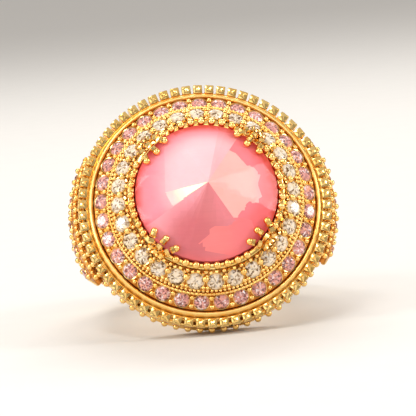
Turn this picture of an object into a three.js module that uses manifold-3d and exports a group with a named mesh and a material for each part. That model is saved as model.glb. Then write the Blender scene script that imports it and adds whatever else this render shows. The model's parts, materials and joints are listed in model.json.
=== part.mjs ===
// Cocktail ring, in millimetres. A pointed round stone stands in a beaded cup at the top of a
// pave dome, which a polished rim, a fence of square studs, a bead wire and a pierced gallery
// carry on a finger band with wide, stone-set shoulders.
// Each piece is made in the ring's own frame: the finger goes along Y through the origin, and the
// head stands up along Z. The whole ring is then laid on its side, on the gallery's base wire and
// the back of the band, as a ring lies on a table.
import * as THREE from "three";
import { mergeVertices } from "three/addons/utils/BufferGeometryUtils.js";
import Module from "manifold-3d";

const wasm = await Module();
wasm.setup();

// ---- Driving dimensions ----
const SEAM = 0.04; // gap where two soldered or set pieces meet

const FINGER_RADIUS = 8.65; // size 7
const BAND_THICKNESS = 1.5;
const BAND_WIDTH = 3.6;
const BAND_STRAIGHT_TOP = -1.5; // the band keeps its width below this height
const SHOULDER_WIDTH = 11.6; // along the finger, where the shoulder meets the head
const SHOULDER_RECESS_BOTTOM = 1.6; // where the shoulder plate starts on the band
const SHOULDER_PLATE = 0.6; // thickness
const SHOULDER_SPARE = 0.37; // wider than the bead wire over it
const SHOULDER_BEND = 3; // height at which the outline turns out towards the head
const SHOULDER_HOLLOW = 0.4; // sets how late the sides spread along the finger
const BAND_END_SLANT = 0.8; // how far the band's ends lean back from the finger hole

const HEAD_LIFT = 0.07; // of the head's underside over the finger hole
const BASE_WIRE_RADIUS = 0.35;
const BASE_PLATE_THICKNESS = 0.55;
const BASE_PLATE_PIERCINGS = 12;
const PIERCING_RADIUS = 1.15;
const GALLERY_WALL = 0.4;
const GALLERY_HEIGHT = 1.7;
const GALLERY_SPREAD = 0.22; // of its outside beyond the rim's
const GALLERY_WINDOWS = 14;
const WINDOW_WIDTH = 2.6;
const WINDOW_SHARE = 0.59; // of the gallery's height
const BEAD_WIRE_THICKNESS = 0.3;
const BEAD_WIRE_TEETH = 0.53; // how far its beads stand out of it
const BEAD_WIRE_HEIGHT = 0.5;
const BEAD_WIRE_LEVEL = 0.465; // share of the gallery's height below it

const RIM_WIDTH = 0.45;
const RIM_DEPTH = 0.9;
const RIM_CROWN = 0.1;
const STUD_COUNT = 66;
const STUD_WIRE = 0.17; // thickness of the wire that the studs stand on
const STUD_LENGTH = 0.6;
const STUD_HEIGHT = 0.84;
const STUD_SHARE = 0.79; // of each stud's room that it fills, at its root

const CLEAR_ROW_SLOPE = 0.81; // radians down from level
const CLEAR_COUNT = 28;
const CLEAR_GAP = 0.215; // between neighbours
const CLEAR_DEPTH = 0.6;
const PINK_ROW_SLOPE = 0.6;
const PINK_COUNT = 33;
const PINK_GAP = 0.38;
const PINK_DEPTH = 0.52;
const STONE_CROWN = 0.24;
const STONE_SIDES = 6;
const DOME_LIP = 0.24; // from the dome's inner edge to the clear row
const DOME_THICKNESS = 1.85; // along its inner wall
const DOME_UNDERSIDE = -0.75; // against the rim
const STEP_SPARE = 0.1; // from the clear row to the step down
const STEP_RISE = 0.5;
const LEDGE_WIDTH = 0.27; // for the grain wire
const RIM_SPARE = 0.115; // from the outer row to the rim
const ROW_LIFT = 0.09; // of the outer row's lower edge over the rim
const GRAIN_WIRE_RADIUS = 0.13;
const BEAD_RADIUS = 0.23;
const BEAD_LIFT = 0.06; // of a bead's centre over the metal it grows from
const BEAD_INSET = 0.24; // from a row's lower edge to its beads
const WEB_WIDTH = 0.14; // of the band in the groove that joins the outer row
const WEB_HIGH = -0.05; // its heights against the stones' girdles
const WEB_LOW = -0.2;
const GROOVE_HIGH = 0.02;

const STONE_RADIUS = 6.0;
const STONE_POINT = 3.0; // crown's height over the girdle
const STONE_PAVILION = 3.7;
const MAIN_FACETS = 8;
const BREAK_STEEPNESS = 1.4; // of the narrow facets, against the main ones
const GIRDLE_THICKNESS = 0.9;
const GIRDLE_LIFT = 0.1; // of its top over the cup's
const CUP_WALL = 0.54;
const CUP_RISE = 0.38; // over the dome
const CUP_STRAIGHT = 1.25; // height of its straight side
const CUP_BORE = 1.3; // open back, through the base plate too
const CUP_BEADS = 45;

const CLAW_SPREAD = THREE.MathUtils.degToRad(12.3); // from the middle prong to each outer one
const CLAW_ROOT_SPREAD = THREE.MathUtils.degToRad(2.2);
const CLAW_REACH = 0.4; // of its tips over the stone's edge
const PRONG_RADIUS = 0.2;
const CLAW_BLOCK = 0.9; // across its root
const CLAW_BLOCK_DEPTH = 0.34;
const CLAW_BLOCK_HEIGHT = 1.5;

const SIDE_RADIUS = 0.57; // shoulder stones
const SIDE_DEPTH = 0.42;
const SIDE_MARGIN = 1.48; // from the outermost shoulder stones' centres to the edge
const SIDE_STONE_ROWS = [
  { drop: 1.66, count: 5 },
  { drop: 3.46, count: 2 },
];
const SIDE_BEAD_ROWS = [
  { drop: 0.66, count: 10 },
  { drop: 2.56, count: 8 },
  { drop: 4.51, count: 5 },
  { drop: 5.71, count: 3 },
];

const ROUND = 56; // facets round the head's turned pieces, alike so that they nest
const BEYOND = 3 * FINGER_RADIUS; // longer than anything that it cuts

// ---- Heights over the finger's centre ----
const BASE_HEIGHT = FINGER_RADIUS + HEAD_LIFT;
const BASE_WIRE_HEIGHT = BASE_HEIGHT + BASE_WIRE_RADIUS;
const GALLERY_BOTTOM = BASE_HEIGHT + 2 * BASE_WIRE_RADIUS + SEAM;
const BEAD_WIRE_BOTTOM = GALLERY_BOTTOM + BEAD_WIRE_LEVEL * GALLERY_HEIGHT;
const RIM_HEIGHT = GALLERY_BOTTOM + GALLERY_HEIGHT + SEAM + RIM_DEPTH;
const SHOULDER_TOP = BASE_HEIGHT - SEAM;
const PLATE_TOP = BEAD_WIRE_BOTTOM - SEAM;

// ---- Head, from the stone outwards: radii, and heights over the rim ----
// The radius of each of a row's stones, given the row's inner edge.
function rowStoneRadius(edge, count, gap, slope) {
  const share = Math.PI / count;
  return (share * edge - gap / 2) / (1 - share * Math.cos(slope));
}

const CUP_SEAT = STONE_RADIUS + 1.5 * SEAM;
const CUP_RADIUS = CUP_SEAT + CUP_WALL;
const CUP_FOOT_RADIUS = CUP_RADIUS / 2;
const CUP_BEAD_SPREAD = (CUP_SEAT + CUP_RADIUS) / 2;
const DOME_WALL_RADIUS = CUP_RADIUS + 2 * SEAM;

const CLEAR_EDGE = DOME_WALL_RADIUS + DOME_LIP;
const CLEAR_RADIUS = rowStoneRadius(CLEAR_EDGE, CLEAR_COUNT, CLEAR_GAP, CLEAR_ROW_SLOPE);
const CLEAR_ROW_RADIUS = CLEAR_EDGE + CLEAR_RADIUS * Math.cos(CLEAR_ROW_SLOPE);
const STEP_RADIUS = CLEAR_ROW_RADIUS + CLEAR_RADIUS * Math.cos(CLEAR_ROW_SLOPE) + STEP_SPARE;
const PINK_EDGE = STEP_RADIUS + LEDGE_WIDTH;
const PINK_RADIUS = rowStoneRadius(PINK_EDGE, PINK_COUNT, PINK_GAP, PINK_ROW_SLOPE);
const PINK_ROW_RADIUS = PINK_EDGE + PINK_RADIUS * Math.cos(PINK_ROW_SLOPE);
const RIM_RADIUS = 2 * PINK_ROW_RADIUS - PINK_EDGE + RIM_SPARE + RIM_WIDTH;

const PINK_ROW_HEIGHT = ROW_LIFT + PINK_RADIUS * Math.sin(PINK_ROW_SLOPE);
const LEDGE_HEIGHT = PINK_ROW_HEIGHT + PINK_RADIUS * Math.sin(PINK_ROW_SLOPE);
const CLEAR_ROW_HEIGHT = LEDGE_HEIGHT + STEP_RISE + CLEAR_RADIUS * Math.sin(CLEAR_ROW_SLOPE);
const DOME_TOP = CLEAR_ROW_HEIGHT + CLEAR_RADIUS * Math.sin(CLEAR_ROW_SLOPE) + DOME_LIP;
const CUP_TOP = DOME_TOP + CUP_RISE;
const GIRDLE_HIGH = CUP_TOP + GIRDLE_LIFT;
const GIRDLE_LOW = GIRDLE_HIGH - GIRDLE_THICKNESS;

const STUD_ROOT = RIM_RADIUS + SEAM + STUD_WIRE;
const STUD_WIDTH = (STUD_SHARE * 2 * Math.PI * STUD_ROOT) / STUD_COUNT;
const GALLERY_RADIUS = RIM_RADIUS + GALLERY_SPREAD;
const BASE_WIRE_SPREAD = GALLERY_RADIUS - SEAM - BASE_WIRE_RADIUS / 4;
const BEAD_WIRE_ROOT = GALLERY_RADIUS + BEAD_WIRE_THICKNESS;
const BEAD_WIRE_REACH = BEAD_WIRE_ROOT + BEAD_WIRE_TEETH;

const CLAW_ROOT_RADIUS = CUP_RADIUS + 2 * SEAM + CLAW_BLOCK_DEPTH / 2;
const CLAW_TIP_RADIUS = STONE_RADIUS - CLAW_REACH;
const CLAW_BLOCK_HIGH = CUP_TOP - SEAM;
const CLAW_BLOCK_LOW = CLAW_BLOCK_HIGH - CLAW_BLOCK_HEIGHT;

const BAND_RADIUS = FINGER_RADIUS + BAND_THICKNESS;
const SHOULDER_RADIUS = BEAD_WIRE_REACH + SHOULDER_SPARE;
const SHOULDER_OPENING = 0.6 * FINGER_RADIUS; // half the gap between the band's two ends
const SIDE_PITCH = (SHOULDER_WIDTH / 2 - SIDE_MARGIN) / (2 * SHOULDER_RADIUS); // radians

// ---- Materials ----
const gold = new THREE.MeshStandardMaterial({ color: 0xe6b04a, roughness: 0.22, metalness: 1 });
const pinkStone = new THREE.MeshStandardMaterial({ color: 0xee8894, roughness: 0.12, metalness: 0 });
const clearStone = new THREE.MeshStandardMaterial({ color: 0xf4efe8, roughness: 0.05, metalness: 0 });
const blushStone = new THREE.MeshStandardMaterial({ color: 0xe2a9b4, roughness: 0.05, metalness: 0 });

// ---- Solids ----
function toSolid(geometry) {
  const bare = geometry.index ? geometry.toNonIndexed() : geometry.clone();
  bare.deleteAttribute("normal");
  bare.deleteAttribute("uv");
  const merged = mergeVertices(bare, 1e-4);
  return new wasm.Manifold(
    new wasm.Mesh({
      numProp: 3,
      vertProperties: new Float32Array(merged.attributes.position.array),
      triVerts: new Uint32Array(merged.index.array),
    }),
  );
}

function toGeometry(solid) {
  const mesh = solid.getMesh();
  const points = new Float32Array(mesh.numVert * 3);
  for (let i = 0; i < mesh.numVert; i++) {
    const start = i * mesh.numProp;
    points.set(mesh.vertProperties.subarray(start, start + 3), i * 3);
  }
  return new THREE.BufferGeometry()
    .setAttribute("position", new THREE.BufferAttribute(points, 3))
    .setIndex(new THREE.BufferAttribute(new Uint32Array(mesh.triVerts), 1));
}

// Turns a closed profile of [radius, height] about Z. The first facet's edge lies on +X.
function turned(profile, facets = ROUND, height = RIM_HEIGHT) {
  const points = profile.map(([radius, z]) => new THREE.Vector2(radius, z));
  return new THREE.LatheGeometry(points, facets)
    .rotateX(Math.PI / 2)
    .rotateZ(Math.PI / 2)
    .translate(0, 0, height);
}

// The same with a flat side, a profile's true distance away, facing each of count angles.
function turnedWithFlats(profile, count, height = RIM_HEIGHT) {
  const corners = profile.map(([radius, z]) => [radius / Math.cos(Math.PI / count), z]);
  return turned(corners, count, height).rotateZ(Math.PI / count);
}

function closed(profile) {
  return [...profile, profile[0]];
}

// A flat outline drawn in X and Z, pushed along Y and centred on it.
function pushedAlongY(shape, depth, curveSegments) {
  return new THREE.ExtrudeGeometry(shape, { depth, bevelEnabled: false, curveSegments })
    .rotateX(Math.PI / 2)
    .translate(0, depth / 2, 0);
}

// A flat outline drawn in Y and Z, pushed along X from one place to another.
function pushedAlongX(shape, from, to, curveSegments) {
  const depth = to - from;
  return new THREE.ExtrudeGeometry(shape, { depth, bevelEnabled: false, curveSegments })
    .rotateX(Math.PI / 2)
    .rotateZ(Math.PI / 2)
    .translate(from, 0, 0);
}

// Moves a geometry made about the origin to a place on the head: lean tips its Z axis outwards.
function placed(geometry, angle, radius, z, lean = 0) {
  return geometry
    .rotateY(lean)
    .translate(radius, 0, z)
    .rotateZ(angle);
}

function bead(angle, radius, z) {
  return toSolid(placed(new THREE.OctahedronGeometry(BEAD_RADIUS), angle, radius, z));
}

// A round cut stone with its girdle at the origin and its table up.
function cutStone(radius, depth) {
  const profile = [
    [0, -depth],
    [radius, 0],
    [radius * 0.6, STONE_CROWN],
    [0, STONE_CROWN],
  ];
  return turned(profile, STONE_SIDES, 0);
}

// The cone that a stone sits in, cut from the metal to above its surface.
function stoneSeat(radius, depth) {
  const above = 0.3 * (depth + SEAM);
  const profile = [
    [0, -depth - SEAM],
    [1.3 * (radius + SEAM), above],
    [0, above],
  ];
  return turned(profile, STONE_SIDES, 0);
}

function ringAngles(count) {
  return Array.from({ length: count }, (_, i) => (i * 2 * Math.PI) / count);
}

function angleBetween(a, b) {
  return Math.abs(Math.atan2(Math.sin(a - b), Math.cos(a - b)));
}

function spanAngles(middle, count, pitch) {
  return Array.from({ length: count }, (_, i) => middle + (i - (count - 1) / 2) * pitch);
}

function circlePoints(radius, count) {
  return ringAngles(count).map((a) => new THREE.Vector2(radius * Math.cos(a), radius * Math.sin(a)));
}

// A point at a distance along a row's slope and a height square to it, as [radius, height].
function onSlope(radius, height, slope, along, up) {
  return [
    radius + along * Math.cos(slope) + up * Math.sin(slope),
    height - along * Math.sin(slope) + up * Math.cos(slope),
  ];
}

const clearRow = (along, up) => onSlope(CLEAR_ROW_RADIUS, CLEAR_ROW_HEIGHT, CLEAR_ROW_SLOPE, along, up);
const pinkRow = (along, up) => onSlope(PINK_ROW_RADIUS, PINK_ROW_HEIGHT, PINK_ROW_SLOPE, along, up);

const CLAW_ANGLES = ringAngles(4).map((angle) => angle + Math.PI / 4);

// ---- The finger band ----
// The band seen from its side: narrow at the back, spreading along the finger to the shoulders.
function taper() {
  const narrow = BAND_WIDTH / 2;
  const bend = narrow + SHOULDER_HOLLOW;
  const bendHeight = (BAND_STRAIGHT_TOP + PLATE_TOP) / 2;
  const wide = SHOULDER_WIDTH / 2;
  const shape = new THREE.Shape();
  shape.moveTo(-narrow, -BEYOND);
  shape.lineTo(narrow, -BEYOND);
  shape.lineTo(narrow, BAND_STRAIGHT_TOP);
  shape.quadraticCurveTo(bend, bendHeight, wide, PLATE_TOP);
  shape.lineTo(wide, BEYOND);
  shape.lineTo(-wide, BEYOND);
  shape.lineTo(-wide, PLATE_TOP);
  shape.quadraticCurveTo(-bend, bendHeight, -narrow, BAND_STRAIGHT_TOP);
  return shape;
}

// Radius of the shoulders' outside about the head's axis, at a height.
function shoulderRadius(z) {
  const t = THREE.MathUtils.clamp(z / (0.84 * PLATE_TOP), 0, 1.2);
  return BAND_RADIUS + (SHOULDER_RADIUS - BAND_RADIUS) * Math.sin((t * Math.PI) / 2);
}

const SHOULDER_LEVELS = [0, 0.25, 0.5, 0.75, 1].map(
  (share) => SHOULDER_RECESS_BOTTOM + share * (PLATE_TOP - SHOULDER_RECESS_BOTTOM),
);

function bandOutline() {
  const endHeight = Math.sqrt(FINGER_RADIUS ** 2 - SHOULDER_OPENING ** 2);
  const endAngle = Math.atan2(endHeight, SHOULDER_OPENING);
  const swell = (3 * BAND_RADIUS + SHOULDER_RADIUS) / 4;
  const end = SHOULDER_OPENING + BAND_END_SLANT;
  const shape = new THREE.Shape();
  shape.moveTo(SHOULDER_RADIUS, SHOULDER_TOP);
  shape.quadraticCurveTo(swell, SHOULDER_BEND, BAND_RADIUS, 0);
  shape.absarc(0, 0, BAND_RADIUS, 0, -Math.PI, true);
  shape.quadraticCurveTo(-swell, SHOULDER_BEND, -SHOULDER_RADIUS, SHOULDER_TOP);
  shape.lineTo(-end, SHOULDER_TOP);
  shape.absarc(0, 0, FINGER_RADIUS, Math.PI - endAngle, 2 * Math.PI + endAngle, false);
  shape.lineTo(end, SHOULDER_TOP);
  return shape;
}

function band() {
  const body = toSolid(pushedAlongY(bandOutline(), SHOULDER_WIDTH + 1, 17));
  const sides = toSolid(pushedAlongX(taper(), -BEYOND, BEYOND, 7));
  const seat = SHOULDER_LEVELS.map((z) => [shoulderRadius(z) - SHOULDER_PLATE - SEAM, z]);
  const column = [
    [0, -BEYOND],
    [BAND_RADIUS + 1, -BEYOND],
    [BAND_RADIUS + 1, SHOULDER_RECESS_BOTTOM - SEAM],
    [seat[0][0], SHOULDER_RECESS_BOTTOM - SEAM],
    ...seat,
    [0, PLATE_TOP],
  ];
  return body.intersect(sides).intersect(toSolid(turned(column, ROUND, 0)));
}

// ---- Shoulder plates, with their seats and beads ----
// Both are made on the +X side, and the left one is turned about the head's axis.
function sidePlaces(rows, pitch) {
  return rows.flatMap(({ drop, count }) =>
    spanAngles(0, count, pitch).map((angle) => ({ angle, z: PLATE_TOP - drop })),
  );
}

const SIDE_STONES = sidePlaces(SIDE_STONE_ROWS, SIDE_PITCH);
const SIDE_BEADS = sidePlaces(SIDE_BEAD_ROWS, SIDE_PITCH / 2);

function onShoulder(geometry, { angle, z }) {
  return placed(geometry, angle, shoulderRadius(z), z, Math.PI / 2);
}

function shoulderPlate() {
  const outside = SHOULDER_LEVELS.map((z) => [shoulderRadius(z), z]);
  const inside = SHOULDER_LEVELS.map((z) => [shoulderRadius(z) - SHOULDER_PLATE, z]).reverse();
  const flats = Math.round((2 * Math.PI) / SIDE_PITCH);
  const shell = toSolid(turnedWithFlats(closed([...outside, ...inside]), flats, 0));
  let plate = shell.intersect(toSolid(pushedAlongX(taper(), 0, BEYOND, 7)));
  for (const place of SIDE_STONES) {
    plate = plate.subtract(toSolid(onShoulder(stoneSeat(SIDE_RADIUS, SIDE_DEPTH), place)));
  }
  for (const { angle, z } of SIDE_BEADS) {
    plate = plate.add(bead(angle, shoulderRadius(z) + BEAD_LIFT, z));
  }
  return plate;
}

// ---- Head: base, gallery and wires ----
function baseWire() {
  const section = ringAngles(5).map((a) => {
    return [BASE_WIRE_SPREAD + BASE_WIRE_RADIUS * Math.cos(a), BASE_WIRE_RADIUS * Math.sin(a)];
  });
  return turned(closed(section), ROUND, BASE_WIRE_HEIGHT);
}

function basePlate() {
  const outer = BASE_WIRE_SPREAD - BASE_WIRE_RADIUS - SEAM;
  const shape = new THREE.Shape(circlePoints(outer, ROUND));
  shape.holes.push(new THREE.Path(circlePoints(CUP_BORE, ROUND / 4)));
  const middle = (outer + CUP_FOOT_RADIUS) / 2;
  for (const angle of ringAngles(BASE_PLATE_PIERCINGS)) {
    const centre = new THREE.Vector2(middle * Math.cos(angle), middle * Math.sin(angle));
    const edge = circlePoints(PIERCING_RADIUS, 8).map((point) => point.add(centre));
    shape.holes.push(new THREE.Path(edge));
  }
  const options = { depth: BASE_PLATE_THICKNESS, bevelEnabled: false };
  return new THREE.ExtrudeGeometry(shape, options).translate(0, 0, BASE_HEIGHT + SEAM);
}

function gallery() {
  const inner = GALLERY_RADIUS - GALLERY_WALL;
  const wall = [
    [inner, 0],
    [GALLERY_RADIUS, 0],
    [GALLERY_RADIUS, GALLERY_HEIGHT],
    [inner, GALLERY_HEIGHT],
  ];
  let solid = toSolid(turned(closed(wall), ROUND, GALLERY_BOTTOM));
  const middle = GALLERY_BOTTOM + GALLERY_HEIGHT / 2;
  for (const angle of ringAngles(GALLERY_WINDOWS)) {
    const window = new THREE.BoxGeometry(4 * GALLERY_WALL, WINDOW_WIDTH, WINDOW_SHARE * GALLERY_HEIGHT);
    solid = solid.subtract(toSolid(placed(window, angle, GALLERY_RADIUS, middle)));
  }
  return solid;
}

// A flat ring with teeth outwards, each with its half widths at root and tip, made like a cog.
function toothedRing(inner, root, tip, count, rootHalf, tipHalf, height, bottom) {
  const shape = new THREE.Shape();
  ringAngles(count).forEach((angle, i) => {
    const corners = [
      [root, -rootHalf],
      [tip, -tipHalf],
      [tip, tipHalf],
      [root, rootHalf],
    ];
    for (const [along, across] of corners) {
      const x = along * Math.cos(angle) - across * Math.sin(angle);
      const y = along * Math.sin(angle) + across * Math.cos(angle);
      if (i === 0 && across === -rootHalf) shape.moveTo(x, y);
      else shape.lineTo(x, y);
    }
  });
  shape.holes.push(new THREE.Path(circlePoints(inner, ROUND)));
  const options = { depth: height, bevelEnabled: false };
  return new THREE.ExtrudeGeometry(shape, options).translate(0, 0, bottom);
}

function beadWire() {
  return toothedRing(
    GALLERY_RADIUS + SEAM,
    BEAD_WIRE_ROOT,
    BEAD_WIRE_REACH,
    STUD_COUNT,
    BEAD_RADIUS + 0.1,
    0.5 * BEAD_RADIUS,
    BEAD_WIRE_HEIGHT,
    BEAD_WIRE_BOTTOM,
  );
}

function studFence() {
  return toothedRing(
    RIM_RADIUS + SEAM,
    STUD_ROOT,
    STUD_ROOT + STUD_LENGTH,
    STUD_COUNT,
    STUD_WIDTH / 2,
    STUD_WIDTH / 2,
    STUD_HEIGHT,
    RIM_HEIGHT - STUD_HEIGHT,
  );
}

function rim() {
  const inner = RIM_RADIUS - RIM_WIDTH;
  const section = [
    [inner, -RIM_DEPTH],
    [RIM_RADIUS, -RIM_DEPTH],
    [RIM_RADIUS, -RIM_CROWN / 2],
    [RIM_RADIUS - RIM_WIDTH / 4, RIM_CROWN],
    [inner + RIM_WIDTH / 4, RIM_CROWN],
    [inner, 0],
  ];
  return turned(closed(section));
}

// ---- Pave dome ----
// Each row's stones sit in seats cut in the dome, with a bead between neighbours.
function onClearRow(geometry, angle) {
  const [r, z] = clearRow(0, 0);
  return placed(geometry, angle, r, RIM_HEIGHT + z, CLEAR_ROW_SLOPE);
}

function onPinkRow(geometry, angle) {
  const [r, z] = pinkRow(0, 0);
  return placed(geometry, angle, r, RIM_HEIGHT + z, PINK_ROW_SLOPE);
}

// A three-sided band along the outer row, from a half width and height to an edge below.
function pinkBand(half, high, low) {
  const corners = [pinkRow(0, low), pinkRow(half, high), pinkRow(-half, high)];
  return toSolid(turnedWithFlats(closed(corners), PINK_COUNT));
}

// The outer row's stones are joined below their girdles by a web that lies in a groove.
function pinkStoneRow() {
  let row = pinkBand(WEB_WIDTH / 2, WEB_HIGH, WEB_LOW);
  for (const angle of ringAngles(PINK_COUNT)) {
    row = row.add(toSolid(onPinkRow(cutStone(PINK_RADIUS, PINK_DEPTH), angle)));
  }
  return row;
}

// The clear stones' collar over the pink stones' collar, each with a flat under every stone.
function dome() {
  const inner = DOME_WALL_RADIUS;
  const outer = (RIM_RADIUS - RIM_WIDTH - 2 * SEAM) * Math.cos(Math.PI / PINK_COUNT);
  const upper = [
    [inner, DOME_TOP - DOME_THICKNESS],
    [STEP_RADIUS, DOME_UNDERSIDE + 0.2],
    [STEP_RADIUS, clearRow(CLEAR_RADIUS, 0)[1]],
    clearRow(-CLEAR_RADIUS, 0),
    [inner, DOME_TOP],
  ];
  const lower = [
    [STEP_RADIUS - 0.5, DOME_UNDERSIDE],
    [outer, DOME_UNDERSIDE],
    [outer, 0],
    pinkRow(PINK_RADIUS, 0),
    pinkRow(-PINK_RADIUS, 0),
    [STEP_RADIUS - 0.5, LEDGE_HEIGHT],
  ];
  const webSlope = WEB_WIDTH / (WEB_HIGH - WEB_LOW);
  const grooveLow = WEB_LOW - 2.5 * SEAM;
  let solid = toSolid(turnedWithFlats(closed(upper), CLEAR_COUNT));
  solid = solid.add(toSolid(turnedWithFlats(closed(lower), PINK_COUNT))).subtract(
    pinkBand((webSlope * (GROOVE_HIGH - grooveLow)) / 2, GROOVE_HIGH, grooveLow),
  );
  for (const angle of ringAngles(CLEAR_COUNT)) {
    const [r, z] = clearRow(CLEAR_RADIUS - BEAD_INSET, BEAD_LIFT);
    solid = solid.subtract(toSolid(onClearRow(stoneSeat(CLEAR_RADIUS, CLEAR_DEPTH), angle)));
    solid = solid.add(bead(angle + Math.PI / CLEAR_COUNT, r, RIM_HEIGHT + z));
  }
  for (const angle of ringAngles(PINK_COUNT)) {
    const [r, z] = pinkRow(PINK_RADIUS - BEAD_INSET, BEAD_LIFT);
    solid = solid.subtract(toSolid(onPinkRow(stoneSeat(PINK_RADIUS, PINK_DEPTH), angle)));
    solid = solid.add(bead(angle + Math.PI / PINK_COUNT, r, RIM_HEIGHT + z));
  }
  for (const angle of CLAW_ANGLES) {
    const notch = new THREE.BoxGeometry(2 * CLAW_BLOCK_DEPTH, CLAW_BLOCK + 2 * SEAM, BEYOND);
    const back = CLAW_ROOT_RADIUS - CLAW_BLOCK_DEPTH / 2 + SEAM;
    const floor = RIM_HEIGHT + CLAW_BLOCK_LOW - SEAM + BEYOND / 2;
    solid = solid.subtract(toSolid(placed(notch, angle, back, floor)));
  }
  return solid;
}

function grainWire() {
  const middle = STEP_RADIUS / Math.cos(Math.PI / CLEAR_COUNT) + SEAM + GRAIN_WIRE_RADIUS;
  const height = LEDGE_HEIGHT + SEAM + GRAIN_WIRE_RADIUS;
  const section = ringAngles(4).map((a) => {
    return [middle + GRAIN_WIRE_RADIUS * Math.cos(a), height + GRAIN_WIRE_RADIUS * Math.sin(a)];
  });
  return turned(closed(section));
}

// ---- Cup, claws and centre stone ----
function cup() {
  const slope = STONE_PAVILION / STONE_RADIUS;
  const seatHeight = GIRDLE_LOW - 1.5 * SEAM;
  const foot = BASE_HEIGHT + SEAM + BASE_PLATE_THICKNESS + SEAM - RIM_HEIGHT;
  const section = [
    [CUP_BORE, foot],
    [CUP_FOOT_RADIUS, foot],
    [CUP_RADIUS, CUP_TOP - CUP_STRAIGHT],
    [CUP_RADIUS, CUP_TOP],
    [CUP_SEAT, CUP_TOP],
    [CUP_SEAT, seatHeight],
    [CUP_BORE, seatHeight - slope * (CUP_SEAT - CUP_BORE)],
  ];
  let solid = toSolid(turned(closed(section), CUP_BEADS));
  for (const angle of ringAngles(CUP_BEADS)) {
    if (CLAW_ANGLES.some((claw) => angleBetween(angle, claw) < CLAW_SPREAD)) continue;
    solid = solid.add(bead(angle, CUP_BEAD_SPREAD, RIM_HEIGHT + CUP_TOP));
  }
  return solid;
}

// One claw: a root block with three prongs that fan out over the stone's edge.
function claw(middle) {
  const block = new THREE.BoxGeometry(CLAW_BLOCK_DEPTH, CLAW_BLOCK, CLAW_BLOCK_HEIGHT);
  const crownAtTip = (STONE_POINT * CLAW_REACH) / STONE_RADIUS;
  const tipHeight = GIRDLE_HIGH + crownAtTip + PRONG_RADIUS + 3 * SEAM;
  const blockHeight = RIM_HEIGHT + (CLAW_BLOCK_LOW + CLAW_BLOCK_HIGH) / 2;
  let solid = toSolid(placed(block, middle, CLAW_ROOT_RADIUS, blockHeight));
  for (const side of [-1, 0, 1]) {
    const point = (share, radius, z) => {
      const angle = middle + side * THREE.MathUtils.lerp(CLAW_ROOT_SPREAD, CLAW_SPREAD, share);
      return new THREE.Vector3(radius * Math.cos(angle), radius * Math.sin(angle), RIM_HEIGHT + z);
    };
    const path = new THREE.CatmullRomCurve3([
      point(0, CLAW_ROOT_RADIUS, CLAW_BLOCK_HIGH - 0.5),
      point(0.2, CLAW_ROOT_RADIUS, CLAW_BLOCK_HIGH + 0.15),
      point(0.6, CUP_BEAD_SPREAD, tipHeight - SEAM),
      point(1, CLAW_TIP_RADIUS, tipHeight),
    ]);
    const section = new THREE.Shape().absarc(0, 0, PRONG_RADIUS, 0, 2 * Math.PI, false);
    const options = { extrudePath: path, steps: 4, bevelEnabled: false, curveSegments: 2 };
    solid = solid.add(toSolid(new THREE.ExtrudeGeometry(section, options)));
  }
  return solid;
}

// A round stone, pointed both ways. On its crown the main facets meet at the point, and two
// steeper facets break each corner between them down to the girdle.
function centreStone() {
  const lowest = GIRDLE_LOW - STONE_PAVILION;
  const crown = (steepness) => [
    [0, lowest],
    [STONE_RADIUS, lowest],
    [STONE_RADIUS, GIRDLE_HIGH],
    [0, GIRDLE_HIGH + steepness * STONE_POINT],
  ];
  const round = [
    [0, lowest],
    [STONE_RADIUS, GIRDLE_LOW],
    [STONE_RADIUS, GIRDLE_HIGH + STONE_POINT],
    [0, GIRDLE_HIGH + STONE_POINT],
  ];
  const halfFacet = Math.PI / (2 * MAIN_FACETS);
  return toSolid(turned(round))
    .intersect(toSolid(turnedWithFlats(crown(1), MAIN_FACETS)))
    .intersect(toSolid(turnedWithFlats(crown(BREAK_STEEPNESS), 2 * MAIN_FACETS).rotateZ(halfFacet)));
}

// ---- Assembly ----
const ring = new THREE.Group();
const head = new THREE.Group();
const hand = new THREE.Group();
ring.add(head, hand);

function add(group, name, shape, material) {
  const geometry = shape.isBufferGeometry ? shape : toGeometry(shape);
  const mesh = new THREE.Mesh(geometry, material.clone());
  mesh.name = name;
  group.add(mesh);
}

const numbered = (name, i) => `${name}_${String(i + 1).padStart(2, "0")}`;

add(hand, "finger_band", band(), gold);
for (const side of ["right", "left"]) {
  const shoulder = new THREE.Group();
  shoulder.rotation.z = side === "right" ? 0 : Math.PI;
  hand.add(shoulder);
  add(shoulder, `${side}_shoulder_plate`, shoulderPlate(), gold);
  SIDE_STONES.forEach((place, i) => {
    const stone = onShoulder(cutStone(SIDE_RADIUS, SIDE_DEPTH), place);
    add(shoulder, numbered(`${side}_shoulder_stone`, i), stone, blushStone);
  });
}
add(head, "base_wire", baseWire(), gold);
add(head, "base_plate", basePlate(), gold);
add(head, "pierced_gallery", gallery(), gold);
add(head, "bead_wire", beadWire(), gold);
add(head, "stud_fence", studFence(), gold);
add(head, "polished_rim", rim(), gold);
add(head, "pave_dome", dome(), gold);
add(head, "grain_wire", grainWire(), gold);
add(head, "pink_stone_row", pinkStoneRow(), blushStone);
ringAngles(CLEAR_COUNT).forEach((angle, i) => {
  const stone = onClearRow(cutStone(CLEAR_RADIUS, CLEAR_DEPTH), angle);
  add(head, numbered("clear_stone", i), stone, clearStone);
});
add(head, "stone_cup", cup(), gold);
["upper_right", "upper_left", "lower_left", "lower_right"].forEach((place, i) => {
  add(head, `claw_${place}`, claw(CLAW_ANGLES[i]), gold);
});
add(head, "centre_stone", centreStone(), pinkStone);

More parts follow.
